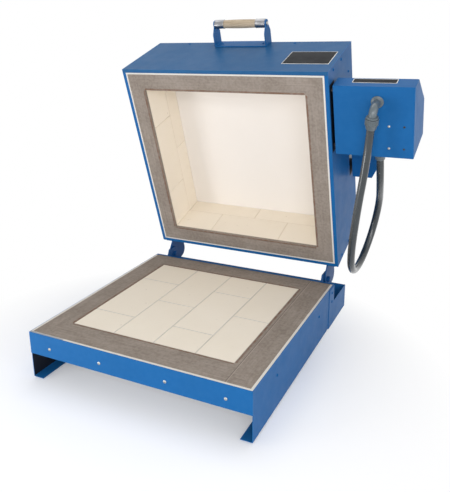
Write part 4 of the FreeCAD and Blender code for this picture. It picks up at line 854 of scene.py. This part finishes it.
NUT_GAP = 0.3 * MM
COLLAR = 5.0 * MM
BEND = 18.0 * MM
tip_aim = TIP_TURN @ elbow_aim
rear_aim = TIP_TURN @ REAR_OUT
down_aim = TIP_TURN @ Vector((0, 0, -1))
elbow_nut_at = TIP_OPEN @ (elbow_corner + elbow_aim * (BEND + COLLAR + NUT_GAP))
gland_nut_at = on_lid(GLAND_X, BOX_BACK - 6.3 * MM, GLAND_V)
nuts = bmesh.new()
nut_shape(nuts, elbow_nut_at, tip_aim)
nut_shape(nuts, gland_nut_at, rear_aim)
turned_piece("ribbed_nuts", nuts, FITTING, "conduit_nuts")


# %% Elbow
ELBOW_R, BEND_R, BEND_PARTS = 10.2 * MM, 20 * MM, 14
THROAT = 10 * MM
LOCKNUT_IN = 1.9 * MM


def elbow_sweep(shape, radius, sides):
    """The throat from the box, round a quarter bend, to the end of the leg."""
    seat = TIP_OPEN @ elbow_seat
    corner = TIP_OPEN @ elbow_corner
    line = [seat - down_aim * THROAT, seat + down_aim * THROAT]
    middle = corner - down_aim * BEND_R + tip_aim * BEND_R
    for k in range(BEND_PARTS + 1):
        turn = math.pi / 2 * k / BEND_PARTS
        line.append(middle - tip_aim * BEND_R * math.cos(turn) + down_aim * BEND_R * math.sin(turn))
    line.append(corner + tip_aim * (ELBOW_LEG - 2 * MM))
    across = down_aim.cross(tip_aim).normalized()
    rings = []
    for k, point in enumerate(line):
        along = (line[min(k + 1, len(line) - 1)] - line[max(k - 1, 0)]).normalized()
        rings.append(ring_of(shape, point, across, across.cross(along), radius, sides))
    close_rings(shape, rings)


elbow = bmesh.new()
elbow_sweep(elbow, ELBOW_R, 32)
flange = [(10.4, 0.0), (14.8, 0.0), (15.4, 0.6), (15.4, 2.6), (14.4, 3.6), (12.4, 4.0), (12.0, 5.6),
          (10.4, 6.6)]
spin(elbow, flange, 36, TIP_OPEN @ elbow_seat, down_aim)
ring = [(10.4, 0.0), (13.6, 0.0), (14.6, 0.8), (14.6, 3.8), (13.8, 4.8), (10.4, 4.8)]
spin(elbow, ring, 36, TIP_OPEN @ (elbow_corner + elbow_aim * BEND), tip_aim)
locknut = [(10.6, 0.0), (15.0, 0.0), (15.0, 5.0), (10.6, 5.0)]
locknut_at = TIP_OPEN @ (elbow_seat + Vector((0, 0, LOCKNUT_IN)))
spin(elbow, locknut, 6, locknut_at, -down_aim)
turned_piece("elbow_body", elbow, FITTING, "elbow_fitting")

# %% [markdown]
# ## Handle
#
# The grip is a bare wooden bar, worn grey, that swells a little in the middle. A bright metal cup with
# a groove and a rolled ring closes each end. The bracket behind it is one strip of painted steel.

# %% Ferrules and grip
HANDLE_X, HANDLE_L, HANDLE_T = -9 * MM, 162 * MM, 3 * MM
GRIP_OUT, GRIP_V = 60 * MM, LID_D - 21 * MM
cup = [(3.4, 0.0), (11.2, 0.0), (12.4, 1.2), (12.4, 3.4), (12.0, 3.9), (12.4, 4.4), (12.4, 25.8),
       (12.8, 26.6), (12.8, 28.0), (12.4, 28.8), (11.0, 29.2)]
CUP_L = 28 * MM
ferrules = bmesh.new()
for side in (-1, 1):
    end = on_lid(HANDLE_X + side * (HANDLE_L / 2 - HANDLE_T), 2 * HALF + GRIP_OUT, GRIP_V)
    spin(ferrules, cup, 36, end, Vector((-side, 0, 0)))
turned_piece("ringed_ferrules", ferrules, BRIGHT, "handle_ferrules")

grip = bmesh.new()
GRIP_PARTS, GRIP_R, GRIP_SWELL = 16, 11.2, 0.9
grip_start = on_lid(HANDLE_X - HANDLE_L / 2 + HANDLE_T + CUP_L, 2 * HALF + GRIP_OUT, GRIP_V)
grip_length = HANDLE_L - 2 * HANDLE_T - 2 * CUP_L
grip_line = []
for k in range(GRIP_PARTS + 1):
    share = k / GRIP_PARTS
    grip_line.append((GRIP_R + GRIP_SWELL * math.sin(math.pi * share), grip_length / MM * share))
spin(grip, grip_line, 48, grip_start, Vector((1, 0, 0)))
turned_piece("turned_grip", grip, WOOD, "handle_grip")

# %% [markdown]
# ## Bricks, rim and fibre
#
# A firebrick is sawn, so its faces are flat, but its corners crumble and the joints fill with grey
# dust. Each brick gets its own tone, and a thin border beside its joints keeps a mark for the dust. The
# rim has a wider border at its inner edge, where glass dust and heat have stained the cement brown.
# Areas are in square metres, and they tell the wide faces from the chamfers.

# %% Clay pieces
RIM_STAIN = 5.5 * MM
RIM_ROUND = 0.9 * MM
RIM_FACE = 0.01
BRICK_FACE = 0.0004


def merged_copy(part):
    """A bmesh copy of a node with its triangles joined into whole flat faces."""
    shape = bmesh.new()
    shape.from_mesh(nodes[part].data)
    bmesh.ops.remove_doubles(shape, verts=shape.verts, dist=1e-6)
    bmesh.ops.dissolve_limit(shape, angle_limit=math.radians(0.6), verts=shape.verts, edges=shape.edges)
    return shape


def extent(points):
    """The low and the high corner of the box round some points."""
    points = list(points)
    low = Vector([min(point[k] for point in points) for k in range(3)])
    return low, Vector([max(point[k] for point in points) for k in range(3)])


def islands(shape):
    """The faces of each separate solid in a bmesh."""
    left = set(shape.faces)
    groups = []
    while left:
        waiting = [left.pop()]
        group = []
        while waiting:
            face = waiting.pop()
            group.append(face)
            for edge in face.edges:
                for near in edge.link_faces:
                    if near in left:
                        left.remove(near)
                        waiting.append(near)
        groups.append(group)
    return groups


def rim_ring(part, opening, turn, material, reach):
    """One closed ring over a node's strips, because the cement was trowelled over the corner joints."""
    back = turn.inverted()
    low, high = extent(back @ vertex.co for vertex in nodes[part].data.vertices)
    inner_low, inner_high = opening

    def mark_inner(faces, inner, outer):
        """Marks the faces within reach of the opening with one value, and the others with another."""
        for face in faces:
            place = back @ face.calc_center_median()
            near = all(inner_low[k] - reach < place[k] < inner_high[k] + reach for k in (0, 1))
            face[edge] = inner if near else outer

    shape = bmesh.new()
    side = shape.faces.layers.float.new("tone")
    edge = shape.faces.layers.float.new("edge")
    loops = []
    for a, b in ((low, high), (inner_low, inner_high)):
        for z in (low.z, high.z):
            spots = ((a.x, a.y), (b.x, a.y), (b.x, b.y), (a.x, b.y))
            loops.append([shape.verts.new(turn @ Vector((x, y, z))) for x, y in spots])
    outer_low, outer_high, in_low, in_high = loops
    for k in range(4):
        n = (k + 1) % 4
        rounds = (outer_high, in_high, in_low, outer_low, outer_high)
        for a, b in zip(rounds, rounds[1:]):
            shape.faces.new((a[k], a[n], b[n], b[k]))[side] = k % 2
    sharp = [e for e in shape.edges if e.calc_face_angle(0.0) > math.radians(40)]
    result = bmesh.ops.bevel(shape, geom=sharp, offset=RIM_ROUND, segments=2, profile=0.5,
                             affect="EDGES")
    mark_inner(result["faces"], 1.0, 0.5)
    wide = [face for face in shape.faces if face.calc_area() > RIM_FACE]
    result = bmesh.ops.inset_individual(shape, faces=wide, thickness=RIM_STAIN, use_even_offset=True)
    mark_inner(result["faces"], 0.8, 0.0)
    bmesh.ops.recalc_face_normals(shape, faces=shape.faces)
    mesh = plain_mesh(shape, part + "_ring")
    print(part, "ring:", len(mesh.polygons), "faces")
    finish_piece(mesh_object(part + "_ring", mesh, material), [part])


def clay_piece(part, border, border_mark, chamfer_mark, seed):
    """A node's copy whose islands have their own tone, with marked chamfers and a marked border."""
    shape = merged_copy(part)
    tone = shape.faces.layers.float.new("tone")
    edge = shape.faces.layers.float.new("edge")
    pick = random.Random(seed)
    groups = islands(shape)
    groups.sort(key=lambda group: min(tuple(face.calc_center_median()) for face in group))
    for group in groups:
        own = pick.random()
        for face in group:
            face[tone] = own
    wide = [face for face in shape.faces if face.calc_area() > BRICK_FACE]
    for face in shape.faces:
        face[edge] = 0.0 if face in wide else chamfer_mark
    if border:
        result = bmesh.ops.inset_individual(shape, faces=wide, thickness=border, use_even_offset=True)
        for face in result["faces"]:
            face[edge] = border_mark
    mesh = plain_mesh(shape, part + "_clay")
    piece = mesh_object(part + "_clay", mesh, FINISH[slot_of[part]])
    print(piece.name, len(groups), "pieces,", len(mesh.polygons), "faces")
    return finish_piece(piece, [part])


clay_piece("floor_bricks", 1.1 * MM, 0.42, 0.85, 11)
clay_piece("lid_bricks", 0.6 * MM, 0.15, 0.42, 12)
BASE_REACH, LID_REACH = 5.7 * MM, 3 * MM
joint = Vector((0.3 * MM, 0.3 * MM, 0.0))
lid_middle = Vector((MIDDLE_X, MIDDLE_Y, 0.0))
lid_half = Vector((240 * MM, 240 * MM, 0.0))
flat = Matrix.Identity(4)
rim_ring("base_rim_strips", (hearth_low - joint, hearth_high + joint), flat, BASE_CEMENT, BASE_REACH)
rim_ring("lid_rim_strips", (lid_middle - lid_half, lid_middle + lid_half), TIP_OPEN, CEMENT, LID_REACH)
clay_piece("lid_roof_board", 0.0, 0.0, 1.0, 15)
clay_piece("lid_fibre", 0.0, 0.0, 0.2, 16)
base_line_piece = clay_piece("base_fibre", 0.0, 0.0, 0.2, 17)
base_line_piece.data.materials[0] = BASE_LINE

# %% [markdown]
# ## Blank plates
#
# Two thin plates are fixed to the front of the lid and to the control box. Each is aluminium with a
# black field inside a bright border, and both are bare.

# %% Blank plates
def blank_plate(part, border):
    shape = merged_copy(part)
    face = max(shape.faces, key=lambda f: f.calc_area())
    sides = [f for f in shape.faces if f.calc_area() > face.calc_area() * 0.98]
    outward = min(sides, key=lambda f: f.normal.y)
    bmesh.ops.inset_individual(shape, faces=[outward], thickness=border, use_even_offset=True)
    outward.material_index = 1
    name = part + "_skin"
    piece = mesh_object(name, plain_mesh(shape, name), PLATE_EDGE, ENAMEL)
    return finish_piece(piece, [part])


PLATE_BORDER = 1.8 * MM
for part in nodes:
    if slot_of[part] in ("black_plate", "silver_plate"):
        print(blank_plate(part, PLATE_BORDER).name)

# %% [markdown]
# ## Softened edges
#
# No folded sheet or moulding has a knife edge: a fold has a small radius, and a thin bright line of
# light runs along it. A solid from the frame comes as loose triangles, so `soften` copies it, merges
# the copy, joins flat triangles into whole faces and rounds every sharp edge. The rounded faces keep a
# mark, `edge`, which the finishes use for wear. Two places see no light and are painted nearly black as
# painted shade: the inside of the legs, and a strip of the lid's wall behind the boxes that hang on it.

# %% Soften
LEG_INWARD = {"base_left_panel": 1, "base_right_panel": -1}
HUNG_ON = {"lid_right_panel": ["control_case", "terminal_cover"]}
SHADE_IN = Vector((0.5 * MM, 0.5 * MM, 0.5 * MM))
SHADE_DEEP = 40 * MM
SHARP_DEG = 28.0
# The spacers and the terminal plate take near-black steel as painted shade in the gap behind the boxes.
OWN_FINISH = {"case_spacers": GAP_SHADE_STEEL, "terminal_plate": GAP_SHADE_STEEL, "lid_front_panel": TOP_SHADE_BLUE,
              "hinge_pins": HINGE_BLUE, "hinge_nuts": HINGE_BLUE, "arm_bolts": HINGE_BLUE}


def shade_behind(shape, cover):
    """Splits the lid's right wall behind a box that hangs on it, and marks the strip there for painted shade."""
    low, high = extent(TIP_SHUT @ vertex.co for vertex in nodes[cover].data.vertices)
    low += SHADE_IN
    high -= SHADE_IN
    high.z = low.z + min(SHADE_DEEP, 0.6 * (high.z - low.z))
    for k in (1, 2):
        axis = Vector((0, 0, 0))
        axis[k] = 1.0
        for corner in (low, high):
            parts = shape.verts[:] + shape.edges[:] + shape.faces[:]
            bmesh.ops.bisect_plane(shape, geom=parts, dist=1e-6, plane_co=TIP_OPEN @ corner,
                                   plane_no=TIP_TURN @ axis)
    shape.normal_update()
    for face in shape.faces:
        place = TIP_SHUT @ face.calc_center_median()
        if face.normal.x > 0.9 and low.y < place.y < high.y and low.z < place.z < high.z:
            face.material_index = 1


def soften(part, width):
    """A node's copy with rounded edges, and a near-black finish as painted shade where it sees no light."""
    shape = merged_copy(part)
    behind = HUNG_ON.get(part, [])
    for cover in behind:
        shade_behind(shape, cover)
    inward = LEG_INWARD.get(part, 0)
    for face in shape.faces:
        if face.normal.x * inward > 0.9:
            face.material_index = 1
    edge = shape.faces.layers.float.new("edge")
    limit = math.radians(SHARP_DEG)
    edges = [e for e in shape.edges if len(e.link_faces) == 2 and e.calc_face_angle(0.0) > limit]
    result = bmesh.ops.bevel(shape, geom=edges, offset=width, offset_type="OFFSET", segments=2,
                             profile=0.5, affect="EDGES", clamp_overlap=True)
    for face in result["faces"]:
        if face.is_valid:
            face[edge] = 1.0
    for face in shape.faces:
        face.smooth = True
    finishes = [OWN_FINISH.get(part) or FINISH[slot_of[part]]]
    if inward or behind:
        finishes.append(PAINTED_SHADE_BLUE)
    name = part + "_skin"
    piece = mesh_object(name, plain_mesh(shape, name), *finishes)
    crisp = piece.modifiers.new("crisp", "WEIGHTED_NORMAL")
    crisp.keep_sharp = True
    crisp.weight = 100
    return finish_piece(piece, [part])


WIDE_FOLDS = {"control_case", "control_end_panel", "terminal_cover", "handle_bracket",
              "hinge_bracket_left", "hinge_bracket_right", "hinge_arm_left", "hinge_arm_right"}
SMALL = {"power_rocker", "switch_frame", "display_window", "key_1", "key_2", "key_3",
         "thermocouple", "terminal_rods", "terminal_bushings", "heating_element"}
WIDE_R, PLAIN_R, SMALL_R = 0.6 * MM, 0.4 * MM, 0.25 * MM
softened = []
for part in nodes:
    if part in done:
        continue
    width = WIDE_R if part in WIDE_FOLDS else SMALL_R if part in SMALL else PLAIN_R
    softened.append(soften(part, width))
faces = sum(len(piece.data.polygons) for piece in softened)
print("softened:", len(softened), "pieces,", faces, "faces")

# %% [markdown]
# ## Studio
#
# The kiln stands on a white sweep under large soft lights: one behind and above it, which throws its
# shadow forward, one by the camera, a low one on the left that runs out along the front panel, and a
# weak one on the right for the side walls. The floor takes the shadow, and away from the kiln it fades
# to plain white.

# %% World and floor
world = bpy.data.worlds.new("studio")
bpy.context.scene.world = world
world.use_nodes = True
sky = world.node_tree
sky.nodes.clear()
AMBIENT = 0.45
WHITE = (1.0, 1.0, 1.0, 1.0)
strength = remap(sky, eye_rays(sky), 0.0, 1.0, AMBIENT, 1.0)
background = add(sky, "ShaderNodeBackground", {"Color": WHITE, "Strength": strength})
sky.links.new(background.outputs[0], sky.nodes.new("ShaderNodeOutputWorld").inputs["Surface"])


FLOOR_LIFT = 0.17
FADE_NEAR, FADE_FAR = 0.36, 0.72
SHADOW_AT = (MIDDLE_X - 0.02, MIDDLE_Y - 0.12, 0.0)


def floor_material():
    """White floor that keeps the shadow near the kiln and is plain white further out."""
    material = bpy.data.materials.new("studio_floor")
    material.use_nodes = True
    tree = material.node_tree
    tree.nodes.clear()
    diffuse = add(tree, "ShaderNodeBsdfDiffuse", {"Color": (0.825, 0.84, 0.88, 1.0)})
    lift = add(tree, "ShaderNodeEmission", {"Color": WHITE, "Strength": FLOOR_LIFT})
    shadowed = add(tree, "ShaderNodeAddShader", {0: diffuse.outputs[0], 1: lift.outputs[0]})
    white = add(tree, "ShaderNodeEmission", {"Color": WHITE, "Strength": 1.0})
    centre = {0: object_place(tree), 1: SHADOW_AT}
    centre = add(tree, "ShaderNodeVectorMath", centre, operation="SUBTRACT").outputs[0]
    distance = add(tree, "ShaderNodeVectorMath", {0: centre}, operation="LENGTH").outputs["Value"]
    far = remap(tree, distance, FADE_NEAR, FADE_FAR)
    seen = eye_rays(tree)
    near_mix = add(tree, "ShaderNodeMixShader", {0: seen, 1: diffuse.outputs[0], 2: shadowed.outputs[0]})
    fade = times(tree, far, seen)
    final = add(tree, "ShaderNodeMixShader", {0: fade, 1: near_mix.outputs[0], 2: white.outputs[0]})
    tree.links.new(final.outputs[0], tree.nodes.new("ShaderNodeOutputMaterial").inputs["Surface"])
    return material


FLOOR_R = 6.0
sweep = bmesh.new()
bmesh.ops.create_circle(sweep, cap_ends=True, segments=64, radius=FLOOR_R)
floor = mesh_object("floor", plain_mesh(sweep, "floor"), floor_material())
print("floor radius", FLOOR_R)


# %% Lamps
def soft_light(name, at, aim, size, power):
    data = bpy.data.lights.new(name, "AREA")
    data.shape = "RECTANGLE"
    data.size, data.size_y = size
    data.energy = power
    lamp = in_scene(name, data)
    at = on_base(*at)
    lamp.location = at
    lamp.rotation_euler = (on_base(*aim) - at).to_track_quat("-Z", "Y").to_euler()


soft_light("overhead", (-0.2, 0.5, 2.4), (0.0, -0.1, 0.1), (2.0, 1.6), 15.0)
soft_light("by_camera", (0.85, -1.9, 1.0), (0.0, 0.1, 0.35), (1.6, 1.0), 23.5)
soft_light("low_left", (-0.85, -1.05, 0.15), (-0.2, -0.3, 0.12), (0.5, 0.25), 6.0)
soft_light("right_fill", (2.0, -0.7, 1.0), (0.3, 0.1, 0.5), (1.0, 1.0), 7.0)
bpy.context.scene.view_settings.view_transform = "Standard"
